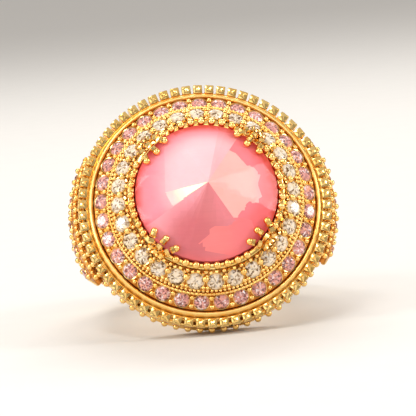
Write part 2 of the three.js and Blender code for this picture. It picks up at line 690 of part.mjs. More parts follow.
// ---- Laid on its side ----
// The lowest point of a group's meshes once the ring is turned about X by an angle.
function lowest(group, turn) {
  let low = Infinity;
  const point = new THREE.Vector3();
  group.updateMatrixWorld(true);
  group.traverse((mesh) => {
    const points = mesh.isMesh ? mesh.geometry.attributes.position : { count: 0 };
    for (let i = 0; i < points.count; i++) {
      point.fromBufferAttribute(points, i).applyMatrix4(mesh.matrixWorld);
      low = Math.min(low, point.y * Math.sin(turn) + point.z * Math.cos(turn));
    }
  });
  return low;
}

// The turn at which the head's base and the band's back touch the table together.
function restingTurn() {
  let [upright, tipped] = [Math.PI / 2, Math.PI / 4];
  for (let i = 0; i < 40; i++) {
    const middle = (upright + tipped) / 2;
    if (lowest(head, middle) < lowest(hand, middle)) upright = middle;
    else tipped = middle;
  }
  return tipped;
}

ring.rotation.x = restingTurn();
ring.updateMatrixWorld(true);
const box = new THREE.Box3().setFromObject(ring, true);
const centre = box.getCenter(new THREE.Vector3());
ring.position.set(-centre.x, -centre.y, -box.min.z);

const part = new THREE.Group();
part.add(ring);
export default part;
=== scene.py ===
"""Finished pieces of a cocktail ring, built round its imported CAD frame.

The pieces are drawn in millimetres in the ring's own frame: X across the head, Y along the finger
and Z out through the head, with the middle of the finger hole at the origin. place_piece() then
turns each one to where the ring lies.
"""

import json
import math
import random
from types import SimpleNamespace

import bmesh
import bpy
from bpy.props import FloatProperty, FloatVectorProperty, IntProperty, PointerProperty
from mathutils import Matrix, Vector

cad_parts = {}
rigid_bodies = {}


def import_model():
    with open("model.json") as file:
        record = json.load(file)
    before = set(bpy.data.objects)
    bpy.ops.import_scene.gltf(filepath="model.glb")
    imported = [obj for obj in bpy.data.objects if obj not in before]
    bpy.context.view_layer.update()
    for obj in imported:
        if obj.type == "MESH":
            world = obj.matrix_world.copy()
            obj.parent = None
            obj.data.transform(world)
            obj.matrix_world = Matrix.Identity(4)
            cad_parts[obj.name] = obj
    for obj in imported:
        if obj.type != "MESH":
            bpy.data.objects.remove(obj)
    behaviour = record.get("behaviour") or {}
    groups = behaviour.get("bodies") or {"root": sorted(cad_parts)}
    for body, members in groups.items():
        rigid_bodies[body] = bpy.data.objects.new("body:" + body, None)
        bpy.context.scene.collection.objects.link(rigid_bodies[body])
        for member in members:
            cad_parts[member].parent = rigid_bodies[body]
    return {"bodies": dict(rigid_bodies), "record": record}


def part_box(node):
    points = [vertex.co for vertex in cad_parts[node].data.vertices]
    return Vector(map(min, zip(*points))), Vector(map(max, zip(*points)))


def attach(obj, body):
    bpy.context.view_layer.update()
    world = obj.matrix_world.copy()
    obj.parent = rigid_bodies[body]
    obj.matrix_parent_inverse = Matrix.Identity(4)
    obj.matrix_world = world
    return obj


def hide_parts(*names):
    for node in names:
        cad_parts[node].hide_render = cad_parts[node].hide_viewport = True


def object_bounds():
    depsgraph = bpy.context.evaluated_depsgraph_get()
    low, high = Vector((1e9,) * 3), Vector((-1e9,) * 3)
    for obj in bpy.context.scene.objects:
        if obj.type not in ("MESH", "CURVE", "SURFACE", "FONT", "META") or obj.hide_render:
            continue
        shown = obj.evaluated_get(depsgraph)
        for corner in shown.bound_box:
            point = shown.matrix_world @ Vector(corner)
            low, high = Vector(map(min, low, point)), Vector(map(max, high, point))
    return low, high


bl_info = {
    "name": "Cocktail ring",
    "version": (1, 0, 0),
    "blender": (4, 5, 0),
    "location": "3D View > Sidebar > Ring",
    "description": "Makes the metal, stones and stage of a cocktail ring round its CAD frame",
    "category": "Add Mesh",
}

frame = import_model()
cad_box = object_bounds()

MM = 0.001
BODY = next(iter(frame["bodies"]))
FULL_TURN = 2 * math.pi
ROUND = 168  # steps in a full turn of the head's metal
SMOOTH_ANGLE = math.radians(38)
ROD_TIP = 0.75  # how far a rod's end stands out, in thicknesses
TOUCH = 1e-5  # points closer than this are one

# The recess gold is the polished gold made darker and more amber as painted shade in the hollows, and
# rougher.
POLISHED, SHADED_RECESS, BRUSHED = "polished gold", "shaded recess gold", "brushed gold"
SHOWN, IN_SHADE = 0, 1  # places of the polished gold and of the recess gold, which is darkened as painted shade, in a piece that has both

# Fits, in millimetres.
JOIN = 0.02  # between pieces that lie against each other
STONE_GAP = 0.06  # between the centre stone and its cup
CUP_WALL = 0.54
CUP_RISE = 0.484  # of the cup's top over the dome's
CUP_BORE, CUP_FOOT = 1.3, 3.3  # radius of its open back and of its foot
DOME_LIP = 0.24  # dome over the inner edge of the clear stones
STEP_EDGE = 0.1  # dome past the outer edge of the clear stones
GIRDLE = 0.9  # of the centre stone
GIRDLE_RISE = 0.1  # of the girdle's top over the cup's
SHOULDER_REACH = 1.2  # of the shoulders past the gallery
PLATE_FOOT, PLATE_RISE = 1.6, 1.49  # shoulder plate over the finger's middle and over the base
BEAD_WIRE_RISE = 1.78  # over the base
SHOULDER_DEPTH = 0.4  # of a shoulder stone under its girdle


# ---- Sizes and colours ----
def half_width(node):
    low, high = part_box(node)
    return (high.x - low.x) / 2 / MM


def length(name, description, millimetres):
    return FloatProperty(
        name=name, description=description, default=millimetres * MM, min=0.0, unit="LENGTH", precision=5,
    )


def paint(name, description, red, green, blue):
    """A colour property from a screen colour, each part from 0 to 255."""
    linear = [linear_part(part / 255) for part in (red, green, blue)]
    return FloatVectorProperty(
        name=name, description=description, default=linear, min=0.0, max=1.0, size=3, subtype="COLOR"
    )


def linear_part(part):
    return part / 12.92 if part <= 0.04045 else ((part + 0.055) / 1.055) ** 2.4


class RingSizes(bpy.types.PropertyGroup):
    """The sizes that set the ring's pieces."""

    finger_radius: length("Finger radius", "Inside of the band", 8.65)
    band_thickness: length("Band thickness", "Metal behind the finger", 1.5)
    band_width: length("Band width", "Width at the back of the band", 3.6)
    shoulder_width: length("Shoulder width", "Width where the band meets the head", 11.6)
    plate_thickness: length("Shoulder plate", "Thickness of the set shoulder plates", 0.6)
    base_height: length("Base height", "From the finger's middle to the head's base", 8.72)
    rim_height: length("Rim height", "From the finger's middle to the top of the rim", 12.1)
    rim_radius: length("Rim radius", "Outside of the polished rim", half_width("polished_rim"))
    rim_width: length("Rim width", "Width of the polished rim's top", 0.45)
    rim_depth: length("Rim depth", "How far the polished rim reaches down", 0.9)
    stud_height: length("Stud height", "Height of the fence's studs", 0.84)
    stud_length: length("Stud length", "How far a stud stands out", 0.6)
    stud_count: IntProperty(name="Studs", description="Studs round the rim", default=66, min=8)
    gallery_radius: length("Gallery radius", "Outside of the pierced wall", half_width("pierced_gallery"))
    gallery_windows: IntProperty(name="Windows", description="Openings in the gallery", default=14, min=2)
    clear_count: IntProperty(name="Clear stones", description="Stones in the inner row", default=28, min=3)
    clear_radius: length("Clear stone radius", "Girdle radius of a clear stone", 0.725)
    clear_row: length("Clear row radius", "Radius of the inner row", 7.42)
    pink_count: IntProperty(name="Pink stones", description="Stones in the outer row", default=33, min=3)
    pink_radius: length("Pink stone radius", "Girdle radius of a pink stone", 0.65)
    pink_row: length("Pink row radius", "Radius of the outer row", 8.8265)
    shoulder_stone: length("Shoulder stone radius", "Girdle radius of a shoulder stone", 0.57)
    stone_radius: length("Centre stone radius", "Girdle radius", half_width("centre_stone"))
    stone_point: length("Centre stone point", "Height of the crown over the girdle", 3.0)
    stone_pavilion: length("Centre stone pavilion", "Depth under the girdle", 3.7)
    cup_beads: IntProperty(name="Cup beads", description="Bead places round the cup", default=45, min=8)
    claw_width: length("Claw width", "Width of a claw's root", 0.9)


class RingColours(bpy.types.PropertyGroup):
    """The colours of the metal, the stones and the floor, among them painted shade, reflections and
    highlights.
    """

    gold: paint("Gold", "Polished metal", 253, 220, 146)
    warm_gold: paint("Warm gold", "Metal where it is warmer", 246, 194, 102)
    # Amber and deep gold are painted shade: they darken the recess gold in the hollows.
    shade_amber: paint("Amber", "Metal in the recesses", 226, 158, 78)
    shade_deep_gold: paint("Deep gold", "Darkest metal in the recesses", 172, 98, 32)
    # Blush to flare colour the centre stone's painted reflections of its pavilion's facets; the girdle red is
    # a painted reflection of the cup's gold and the flare a painted highlight.
    blush: paint("Blush", "Lightest sector of the centre stone", 250, 194, 198)
    rose: paint("Rose", "Main colour of the centre stone", 246, 142, 154)
    mauve: paint("Mauve", "Greyer facets of the centre stone", 216, 126, 130)
    plum: paint("Plum", "Darkest facets of the centre stone", 206, 106, 112)
    salmon: paint("Salmon", "Large warm facet of the centre stone", 253, 178, 170)
    ember: paint("Ember", "Orange patch of the centre stone", 236, 134, 128)
    coral: paint("Coral", "Centre stone near its girdle", 236, 106, 108)
    girdle: paint("Girdle", "Thin edge of the centre stone, lit by its cup", 204, 66, 44)
    # The flare is a painted highlight, which the stone also glows with.
    flare_highlight: paint("Flare", "Bright facet of the centre stone", 255, 246, 196)
    # The clear stones' lightest facets are painted glints.
    clear: paint("Clear stones", "Lightest facets of the clear stones", 250, 234, 212)
    pink: paint("Pink stones", "Main colour of the pink stones", 234, 168, 160)
    floor: paint("Floor", "The floor under the ring", 226, 222, 216)


class Row:
    """A ring of small stones on a cone about the head's axis, with its heights from the rim."""

    def __init__(self, count, radius, height, slope, stone, depth):
        self.count, self.radius, self.height = count, radius, height
        self.slope, self.stone, self.depth = slope, stone, depth

    def point(self, along, up):
        """The radius and height at a distance down the slope and a height square to it."""
        return (
            self.radius + along * math.cos(self.slope) + up * math.sin(self.slope),
            self.height - along * math.sin(self.slope) + up * math.cos(self.slope),
        )

    def places(self, rim, along=0.0, up=0.0, shift=0.0):
        """One place for each stone, or between them with a shift of half a stone."""
        radius, height = self.point(along, up)
        return [at(angle, radius, rim + height, self.slope) for angle in angles(self.count, shift)]


def millimetres(group):
    """A property group's values, with its lengths in millimetres."""
    values = {}
    for key, prop in group.bl_rna.properties.items():
        if prop.type == "FLOAT":
            values[key] = getattr(group, key) / MM
        elif prop.type == "INT":
            values[key] = getattr(group, key)
    return SimpleNamespace(**values)


def ring_layout():
    """The sizes in millimetres, with those that follow from them."""
    s = millimetres(bpy.context.scene.ring_sizes)
    s.band_radius = s.finger_radius + s.band_thickness
    s.clear = Row(s.clear_count, s.clear_row, height=1.8495, slope=0.62, stone=s.clear_radius, depth=0.6)
    s.pink = Row(s.pink_count, s.pink_row, height=0.4572, slope=0.6, stone=s.pink_radius, depth=0.52)
    s.ledge = s.pink.point(-s.pink.stone, 0)[1]
    s.cup_seat = s.stone_radius + STONE_GAP
    s.cup_radius = s.cup_seat + CUP_WALL
    s.dome_wall = s.cup_radius + JOIN
    s.dome_top = s.clear.point(-s.clear.stone, 0)[1] + DOME_LIP
    s.step = s.clear.point(s.clear.stone, 0)[0] + STEP_EDGE
    s.cup_top = s.dome_top + CUP_RISE
    s.girdle_high = s.rim_height + s.cup_top + GIRDLE_RISE
    s.girdle_low = s.girdle_high - GIRDLE
    s.shoulder_radius = s.gallery_radius + SHOULDER_REACH
    s.plate_top = s.base_height + PLATE_RISE
    s.plate_bottom = PLATE_FOOT
    s.bead_wire_height = s.base_height + BEAD_WIRE_RISE
    s.claw_angles = [angle + math.pi / 4 for angle in angles(4)]
    return s


def colours():
    return bpy.context.scene.ring_colours


# ---- Places ----
def angles(count, shift=0.0):
    return [(number + shift) * FULL_TURN / count for number in range(count)]


def apart(a, b):
    return abs(math.atan2(math.sin(a - b), math.cos(a - b)))


def at(angle, radius, height, lean=0.0):
    """A place on the head: its Z leans outwards, and it stands at a radius, a height and an angle."""
    out = Matrix.Translation((radius, 0, height)) @ Matrix.Rotation(lean, 4, "Y")
    return Matrix.Rotation(angle, 4, "Z") @ out


def on_head(angle, radius, height):
    return Vector((radius * math.cos(angle), radius * math.sin(angle), height))


def ring_to_row():
    """Turns the ring's own frame, in millimetres, to the frame that the CAD model lies in."""
    s = ring_layout()
    faces = {mount["name"]: mount for mount in frame["record"]["mounts"]}
    along_finger = Vector(faces["band_side_up"]["axis"]).normalized()
    headward = Vector((0, -along_finger.z, along_finger.y))
    up, down = (Vector(faces[name]["pos_m"]) for name in ("band_side_up", "band_side_down"))
    middle = (up + down) / 2 + headward * (s.finger_radius + s.band_thickness / 2) * MM
    turn = Matrix(((1, 0, 0), along_finger, headward)).transposed().to_4x4()
    return Matrix.Translation(middle) @ turn @ Matrix.Scale(MM, 4)


# ---- Shapes ----
def softened(outline, cut, steps=3):
    """A closed outline with each corner rounded off, starting a cut away from its tip."""
    points = [Vector(point) for point in outline]
    most = 0.45  # of a side may go to one corner
    made = []
    for number, corner in enumerate(points):
        before, after = points[number - 1], points[(number + 1) % len(points)]
        start = corner.lerp(before, min(most, cut / (before - corner).length))
        end = corner.lerp(after, min(most, cut / (after - corner).length))
        for step in range(steps + 1):
            share = step / steps
            made.append(start.lerp(corner, share).lerp(corner.lerp(end, share), share))
    return made


def turned(outline, steps=ROUND):
    """Spins a closed outline of (radius, height) about the head's axis into a closed body."""
    bm = bmesh.new()
    verts = [bm.verts.new((radius, 0, height)) for radius, height in outline]
    edges = [bm.edges.new(pair) for pair in zip(verts, verts[1:] + verts[:1])]
    bmesh.ops.spin(
        bm, geom=verts + edges, cent=(0, 0, 0), axis=(0, 0, 1), angle=FULL_TURN, steps=steps, use_merge=True,
    )
    bmesh.ops.recalc_face_normals(bm, faces=bm.faces)
    return bm


def circle_outline(radius, height, thickness, sides=10):
    turns = [(thickness * math.cos(angle), thickness * math.sin(angle)) for angle in angles(sides)]
    return [(radius + out, height + up) for out, up in turns]


def add_beads(bm, places, radius, around=9, rings=6, shape=(1, 1, 1)):
    """Small round beads. Vectors or matrices say where."""
    ball = bmesh.new()
    squash = Matrix.Diagonal((*shape, 1))
    bmesh.ops.create_uvsphere(ball, u_segments=around, v_segments=rings, radius=radius, matrix=squash)
    stamp(bm, ball, [Matrix.Translation(place) if len(place) == 3 else place for place in places])


def beads_round(bm, turns, radius, height, bead, around=9, rings=6):
    """Beads at some turns about the head's axis."""
    add_beads(bm, [on_head(angle, radius, height) for angle in turns], bead, around, rings)


def rod(bm, path, thicknesses, sides=9):
    """A round bar along a path of points, as thick at each point as given, with round ends."""
    loops = []
    for number, (point, thickness) in enumerate(zip(path, thicknesses)):
        ahead = path[min(number + 1, len(path) - 1)] - path[max(number - 1, 0)]
        place = Matrix.Translation(point) @ ahead.to_track_quat("Z", "Y").to_matrix().to_4x4()
        made = bmesh.ops.create_circle(bm, segments=sides, radius=thickness, matrix=place)
        loops.append(made["verts"])
    for first, second in zip(loops, loops[1:]):
        edges = {edge for vert in first + second for edge in vert.link_edges if not edge.link_faces}
        ring = [edge for edge in edges if all(vert in first or vert in second for vert in edge.verts)]
        bmesh.ops.bridge_loops(bm, edges=[edge for edge in ring if on_one_loop(edge, first, second)])
    for loop, point, side in ((loops[0], path[0], -1), (loops[-1], path[-1], 1)):
        thickness = thicknesses[0] if side < 0 else thicknesses[-1]
        ahead = (path[1] - path[0]) if side < 0 else (path[-1] - path[-2])
        tip = bmesh.ops.contextual_create(bm, geom=loop)["faces"]
        poked = bmesh.ops.poke(bm, faces=tip)
        poked["verts"][0].co = point + ahead.normalized() * side * thickness * ROD_TIP


def on_one_loop(edge, first, second):
    return all(vert in first for vert in edge.verts) or all(vert in second for vert in edge.verts)


def curve_through(points, steps):
    """Points along a smooth curve through a few points."""
    ends = [points[0] * 2 - points[1], *points, points[-1] * 2 - points[-2]]
    made = []
    for a, b, c, d in zip(ends, ends[1:], ends[2:], ends[3:]):
        for step in range(steps):
            t = step / steps
            bend = (a * 2 - b * 5 + c * 4 - d) * t * t + (b * 3 - a - c * 3 + d) * t**3
            made.append((b * 2 + (c - a) * t + bend) / 2)
    return made + [points[-1]]


def to_mesh(name, bm):
    """A mesh of a finished shape, which is freed."""
    mesh = bpy.data.meshes.new(name)
    bm.to_mesh(mesh)
    bm.free()
    return mesh


def add_object(name, data):
    made = bpy.data.objects.new(name, data)
    bpy.context.scene.collection.objects.link(made)
    return made


def stamp(bm, shape, places):
    """Adds a copy of a shape at each place, and frees the shape. Returns each copy's faces."""
    mesh = to_mesh("stamp", shape)
    copies = []
    for place in places:
        first_vert, first_face = len(bm.verts), len(bm.faces)
        bm.from_mesh(mesh)
        bm.verts.ensure_lookup_table()
        bm.faces.ensure_lookup_table()
        bmesh.ops.transform(bm, matrix=place, verts=bm.verts[first_vert:])
        copies.append(bm.faces[first_face:])
    bpy.data.meshes.remove(mesh)
    return copies


def slice_off(bm, point, away):
    """Cuts flat through a closed body, drops what lies on the away side and closes the cut."""
    geom = bm.verts[:] + bm.edges[:] + bm.faces[:]
    cut = bmesh.ops.bisect_plane(
        bm, geom=geom, dist=TOUCH, plane_co=point, plane_no=away, clear_outer=True,
    )["geom_cut"]
    edges = [item for item in cut if isinstance(item, bmesh.types.BMEdge)]
    bmesh.ops.holes_fill(bm, edges=edges, sides=0)


def use_material(bm, place, first=0):
    """Gives the faces from the first one on a material. Returns how many faces there are."""
    bm.faces.ensure_lookup_table()
    for face in bm.faces[first:]:
        face.material_index = place
    return len(bm.faces)


def bevel(bm, edges, offset):
    """Rounds some edges off in two steps."""
    bmesh.ops.bevel(bm, geom=edges, offset=offset, segments=2, profile=0.5, affect="EDGES", material=-1)


def carve(bm, cutter):
    """Cuts one closed body from another, frees both and returns what is left."""
    objects = []
    for name, shape in (("body", bm), ("cutter", cutter)):
        bmesh.ops.recalc_face_normals(shape, faces=shape.faces)
        objects.append(add_object(name, to_mesh(name, shape)))
    body, tool = objects
    modifier = body.modifiers.new("cut", "BOOLEAN")
    modifier.operation, modifier.object, modifier.solver = "DIFFERENCE", tool, "MANIFOLD"
    bpy.context.view_layer.update()
    evaluated = body.evaluated_get(bpy.context.evaluated_depsgraph_get())
    result = bmesh.new()
    result.from_mesh(evaluated.to_mesh())
    evaluated.to_mesh_clear()
    for item in objects:
        mesh = item.data
        bpy.data.objects.remove(item)
        bpy.data.meshes.remove(mesh)
    return result


def place_piece(name, bm, materials, nodes=None, smooth=True):
    """Turns a shape into a finished piece that stands for its CAD nodes and rides on the ring."""
    nodes = nodes or [name]
    for face in bm.faces:
        face.smooth = smooth
    bmesh.ops.transform(bm, matrix=ring_to_row(), verts=bm.verts)
    mesh = to_mesh(name, bm)
    if not mesh.polygons:
        raise RuntimeError(f"{name} came out empty")
    if smooth:
        mesh.set_sharp_from_angle(angle=SMOOTH_ANGLE)
    for material in materials:
        mesh.materials.append(made_once("materials", material, MATERIAL_MAKERS[material]))
    piece = add_object(name, mesh)
    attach(piece, BODY)
    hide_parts(*nodes)


def numbered(name, count):
    return [f"{name}_{number + 1:02d}" for number in range(count)]


# ---- Material helpers ----
def wire(tree, value, socket):
    """Joins a socket to an input, or sets the input's own value."""
    if isinstance(value, bpy.types.NodeSocket):
        tree.links.new(value, socket)
    else:
        socket.default_value = value


def add_node(tree, kind, settings=None, **inputs):
    node = tree.nodes.new(kind)
    for key, value in (settings or {}).items():
        setattr(node, key, value)
    for key, value in inputs.items():
        wire(tree, value, node.inputs[key.replace("_", " ")])
    return node


def noise(tree, place, scale, detail):
    return add_node(tree, "ShaderNodeTexNoise", Vector=place, Scale=scale, Detail=detail).outputs[0]


def object_place(tree):
    return add_node(tree, "ShaderNodeTexCoord").outputs["Object"]


def painted(tree, attribute, output="Fac"):
    """A value that the mesh carries under a name."""
    return add_node(tree, "ShaderNodeAttribute", {"attribute_name": attribute}).outputs[output]


def sum_node(tree, operation, *values):
    node = add_node(tree, "ShaderNodeMath", {"operation": operation})
    for value, socket in zip(values, node.inputs):
        wire(tree, value, socket)
    return node.outputs[0]


def mix_colour(tree, share, first, second, blend="MIX"):
    node = add_node(tree, "ShaderNodeMix", {"data_type": "RGBA", "blend_type": blend})
    wire(tree, share, node.inputs["Factor"])
    for value, number in ((first, 6), (second, 7)):
        wire(tree, value if isinstance(value, bpy.types.NodeSocket) else opaque(value), node.inputs[number])
    return node.outputs[2]


def scaled(tree, colour, share):
    node = add_node(tree, "ShaderNodeVectorMath", {"operation": "SCALE"}, Scale=share)
    tree.links.new(colour, node.inputs[0])
    return node.outputs[0]


def opaque(colour):
    return (*colour[:3], 1.0)


def spread_values(tree, value, low, high):
    """Spreads a value from 0 to 1 over a range."""
    node = add_node(tree, "ShaderNodeMapRange")
    for given, key in ((value, "Value"), (low, "To Min"), (high, "To Max")):
        wire(tree, given, node.inputs[key])
    return node.outputs[0]


def colour_steps(tree, value, steps, interpolation="CONSTANT"):
    """A ramp with a colour from each position on."""
    node = add_node(tree, "ShaderNodeValToRGB")
    ramp = node.color_ramp
    ramp.interpolation = interpolation
    while len(ramp.elements) < len(steps):
        ramp.elements.new(0.5)
    for element, (position, colour) in zip(ramp.elements, steps):
        element.position = position
        element.color = opaque(colour)
    wire(tree, value, node.inputs[0])
    return node.outputs[0]


def new_group(name, inputs, outputs):
    """An empty shader group with named inputs, given as name: (kind, default), and outputs."""
    tree = bpy.data.node_groups.new(name, "ShaderNodeTree")
    for label, (kind, default) in inputs.items():
        socket = tree.interface.new_socket(name=label, in_out="INPUT", socket_type=kind)
        socket.default_value = default
    for label, kind in outputs.items():
        tree.interface.new_socket(name=label, in_out="OUTPUT", socket_type=kind)
    return tree, tree.nodes.new("NodeGroupInput"), tree.nodes.new("NodeGroupOutput")


def place_group(tree, group, **inputs):
    node = tree.nodes.new("ShaderNodeGroup")
    node.node_tree = group
    for key, value in inputs.items():
        wire(tree, value, node.inputs[key.replace("_", " ")])
    return node


def new_material(name):
    """A material with only its surface shader, and its node tree."""
    material = bpy.data.materials.new(name)
    material.use_nodes = True
    tree = material.node_tree
    tree.nodes.clear()
    shader = tree.nodes.new("ShaderNodeBsdfPrincipled")
    output = tree.nodes.new("ShaderNodeOutputMaterial")
    tree.links.new(shader.outputs[0], output.inputs[0])
    return material, tree, shader


def set_shader(shader, **values):
    for key, value in values.items():
        shader.inputs[key.replace("_", " ")].default_value = value


def made_once(kind, name, make):
    """A material or a node group by its name, made the first time that it is asked for."""
    found = getattr(bpy.data, kind).get(name)
    return found or make(name)


# ---- Metal ----
def cast_metal_group(name):
    """Tone, roughness and height of cast and polished metal, from the object's own coordinates."""
    tree, source, sink = new_group(
        name,
        {
            "Bright": ("NodeSocketColor", (1, 0.8, 0.4, 1)),
            "Warm": ("NodeSocketColor", (1, 0.6, 0.2, 1)),
            "Polish": ("NodeSocketFloat", 0.14),
            "Wear": ("NodeSocketFloat", 0.12),
        },
        {"Color": "NodeSocketColor", "Roughness": "NodeSocketFloat", "Height": "NodeSocketFloat"},
    )
    place = object_place(tree)
    cloud = noise(tree, place, scale=520.0, detail=3.0)
    grain = noise(tree, place, scale=5200.0, detail=4.0)
    stretch = add_node(tree, "ShaderNodeMapping", Vector=place, Scale=(1.0, 0.15, 6.0)).outputs[0]
    scratch = noise(tree, stretch, scale=2600.0, detail=2.0)
    tone = spread_values(tree, sum_node(tree, "MULTIPLY_ADD", grain, 0.35, cloud), -0.75, 1.2)
    wire(tree, mix_colour(tree, tone, source.outputs["Bright"], source.outputs["Warm"]), sink.inputs["Color"])
    worn = sum_node(tree, "MULTIPLY", scratch, source.outputs["Wear"])
    wire(tree, sum_node(tree, "ADD", source.outputs["Polish"], worn), sink.inputs["Roughness"])
    wire(tree, sum_node(tree, "MULTIPLY_ADD", scratch, 0.4, grain), sink.inputs["Height"])
    return tree


METALS = {  # its two colours, and its polish, wear and relief
    POLISHED: ("gold", "warm_gold", 0.12, 0.1, 0.15),
    # The recess gold's darker colours are painted shade; its higher polish number, wear and relief make it
    # rougher.
    SHADED_RECESS: ("shade_amber", "shade_deep_gold", 0.24, 0.2, 0.5),
    BRUSHED: ("gold", "warm_gold", 0.2, 0.22, 0.4),
}
RELIEF_DEPTH = 0.02 * MM


def make_metal(name):
    bright, warm, polish, wear, relief = METALS[name]
    bright, warm = (opaque(getattr(colours(), key)) for key in (bright, warm))
    material, tree, shader = new_material(name)
    group = made_once("node_groups", "cast_metal", cast_metal_group)
    metal = place_group(tree, group, Bright=bright, Warm=warm, Polish=polish, Wear=wear)
    tree.links.new(metal.outputs["Color"], shader.inputs["Base Color"])
    tree.links.new(metal.outputs["Roughness"], shader.inputs["Roughness"])
    bump = add_node(tree, "ShaderNodeBump", Strength=relief, Distance=RELIEF_DEPTH)
    tree.links.new(metal.outputs["Height"], bump.inputs["Height"])
    tree.links.new(bump.outputs[0], shader.inputs["Normal"])
    set_shader(shader, Metallic=1.0)
    return material


# ---- Stones' materials ----
def cut_facets_group(name):
    """Two tones for each facet seen in a round cut stone, from the stone's own map; they choose its painted
    reflections and glints.
    """
    tree, source, sink = new_group(
        name,
        {"Facets": ("NodeSocketFloat", 8.0), "Seed": ("NodeSocketFloat", 0.0)},
        {"Tone": "NodeSocketFloat", "Second": "NodeSocketFloat"},
    )
    table, star = 0.2, 0.34  # where the inner ring of facets starts, and its points
    girdle, point = 0.78, -0.36  # the same for the outer ring
    flat = add_node(tree, "ShaderNodeUVMap", {"uv_map": "facets"}).outputs[0]
    parts = add_node(tree, "ShaderNodeSeparateXYZ", Vector=flat)
    x, y = (sum_node(tree, "MULTIPLY_ADD", parts.outputs[number], 2.0, -1.0) for number in (0, 1))
    squares = [sum_node(tree, "MULTIPLY", value, value) for value in (x, y)]
    radius = sum_node(tree, "SQRT", sum_node(tree, "ADD", *squares))
    turn = sum_node(tree, "DIVIDE", sum_node(tree, "ARCTAN2", y, x), FULL_TURN)
    around = sum_node(tree, "MULTIPLY", turn, source.outputs["Facets"])
    zigzag = sum_node(tree, "PINGPONG", around, 0.5)
    inner = sum_node(tree, "GREATER_THAN", radius, sum_node(tree, "MULTIPLY_ADD", zigzag, star, table))
    outer = sum_node(tree, "GREATER_THAN", radius, sum_node(tree, "MULTIPLY_ADD", zigzag, point, girdle))
    ring = sum_node(tree, "ADD", inner, outer)
    half_step = sum_node(tree, "MULTIPLY", inner, 0.5)
    sector = sum_node(tree, "FLOOR", sum_node(tree, "MULTIPLY_ADD", around, 2.0, half_step))
    seed = sum_node(tree, "MULTIPLY_ADD", painted(tree, "stone_number"), 7.0, source.outputs["Seed"])
    cell = add_node(tree, "ShaderNodeCombineXYZ", X=sector, Y=ring, Z=seed).outputs[0]
    chance = add_node(tree, "ShaderNodeTexWhiteNoise", {"noise_dimensions": "3D"}, Vector=cell)
    tone = sum_node(tree, "FRACT", sum_node(tree, "ADD", chance.outputs[0], painted(tree, "glint_shift")))
    shade = add_node(tree, "ShaderNodeSeparateXYZ", Vector=chance.outputs[1])
    wire(tree, tone, sink.inputs["Tone"])
    wire(tree, shade.outputs[1], sink.inputs["Second"])
    return tree


def small_stone_looks(name):
    """A kind of small stone: its painted reflections and glints from dark to bright, its tint and its seed.
    """
    clear, pink, white = Vector(colours().clear), Vector(colours().pink), Vector((1, 1, 1))
    looks = {
        # Each ramp goes from dark painted reflections to bright painted glints.
        "clear stone": (
            [
                (0.0, (0.16, 0.08, 0.03)),
                (0.1, (0.42, 0.28, 0.16)),
                (0.26, (0.66, 0.58, 0.5)),
                (0.44, (0.9, 0.74, 0.5)),
                (0.54, clear),
            ],
            (1, 0.84, 0.6),
            1.0,
        ),
        "pink stone": (
            [
                (0.0, (0.26, 0.08, 0.07)),
                (0.1, pink * 0.32),
                (0.28, pink * 0.72),
                (0.5, pink),
                (0.72, pink.lerp(Vector((1, 0.5, 0.22)), 0.45)),
                (0.86, pink.lerp(white, 0.7)),
            ],
            (1, 0.7, 0.66),
            2.0,
        ),
        "shoulder stone": (
            [
                (0.0, (0.12, 0.04, 0.03)),
                (0.18, pink * 0.3),
                (0.42, pink * 0.6),
                (0.7, pink.lerp(Vector((0.9, 0.45, 0.2)), 0.5)),
                (0.86, pink),
            ],
            (1, 0.6, 0.4),
            3.0,
        ),
    }
    return looks[name]


def make_small_stone(name):
    """Small cut stones: painted reflections and glints on their facets from dark to bright, each tinted a
    little, with a clear gloss.
    """
    steps, shade, seed = small_stone_looks(name)
    material, tree, shader = new_material(name)
    group = made_once("node_groups", "cut_facets", cut_facets_group)
    facets = place_group(tree, group, Facets=8.0, Seed=seed)
    colour = colour_steps(tree, facets.outputs["Tone"], steps)
    tint = sum_node(tree, "MULTIPLY", facets.outputs["Second"], 0.45)
    colour = mix_colour(tree, tint, colour, shade, "MULTIPLY")
    tree.links.new(colour, shader.inputs["Base Color"])
    rough = spread_values(tree, facets.outputs["Second"], 0.02, 0.16)
    tree.links.new(rough, shader.inputs["Roughness"])
    set_shader(shader, Transmission_Weight=0.12, IOR=1.5, Coat_Weight=0.1, Coat_Roughness=0.03)
    return material


def make_centre_stone(name):
    """The milky cut stone: painted reflections of its pavilion's facets, with soft clouds, faint polish
    lines, a gloss and a painted glow.
    """
    material, tree, shader = new_material(name)
    place = object_place(tree)
    cloud = noise(tree, place, scale=260.0, detail=3.0)
    turn = add_node(tree, "ShaderNodeMapping", Vector=place, Rotation=(0.4, 0.3, 0.5), Scale=(1, 12, 12))
    lines = noise(tree, turn.outputs[0], scale=420.0, detail=2.0)
    cloudy, streaky = spread_values(tree, cloud, 0.82, 1.1), spread_values(tree, lines, -0.04, 0.04)
    tone = sum_node(tree, "ADD", cloudy, streaky)
    colour = scaled(tree, painted(tree, "tint", "Color"), tone)
    tree.links.new(colour, shader.inputs["Base Color"])
    tree.links.new(spread_values(tree, lines, 0.1, 0.3), shader.inputs["Roughness"])
    # Painted glow: the whole stone glows faintly, and most where the painted flare highlight lies.
    glow = scaled(tree, colour, spread_values(tree, painted(tree, "flare_highlight"), 0.02, 1.0))
    tree.links.new(glow, shader.inputs["Emission Color"])
    set_shader(
        shader,
        IOR=1.42,
        Emission_Strength=0.7,
        Specular_IOR_Level=0.22,
        Coat_Weight=0.04,
        Coat_Roughness=0.08,
        Subsurface_Weight=0.15,
        Subsurface_Scale=0.4 * MM,
    )
    return material


MATERIAL_MAKERS = {
    **{name: make_metal for name in METALS},
    **{name: make_small_stone for name in ("clear stone", "pink stone", "shoulder stone")},
    "centre stone": make_centre_stone,
}


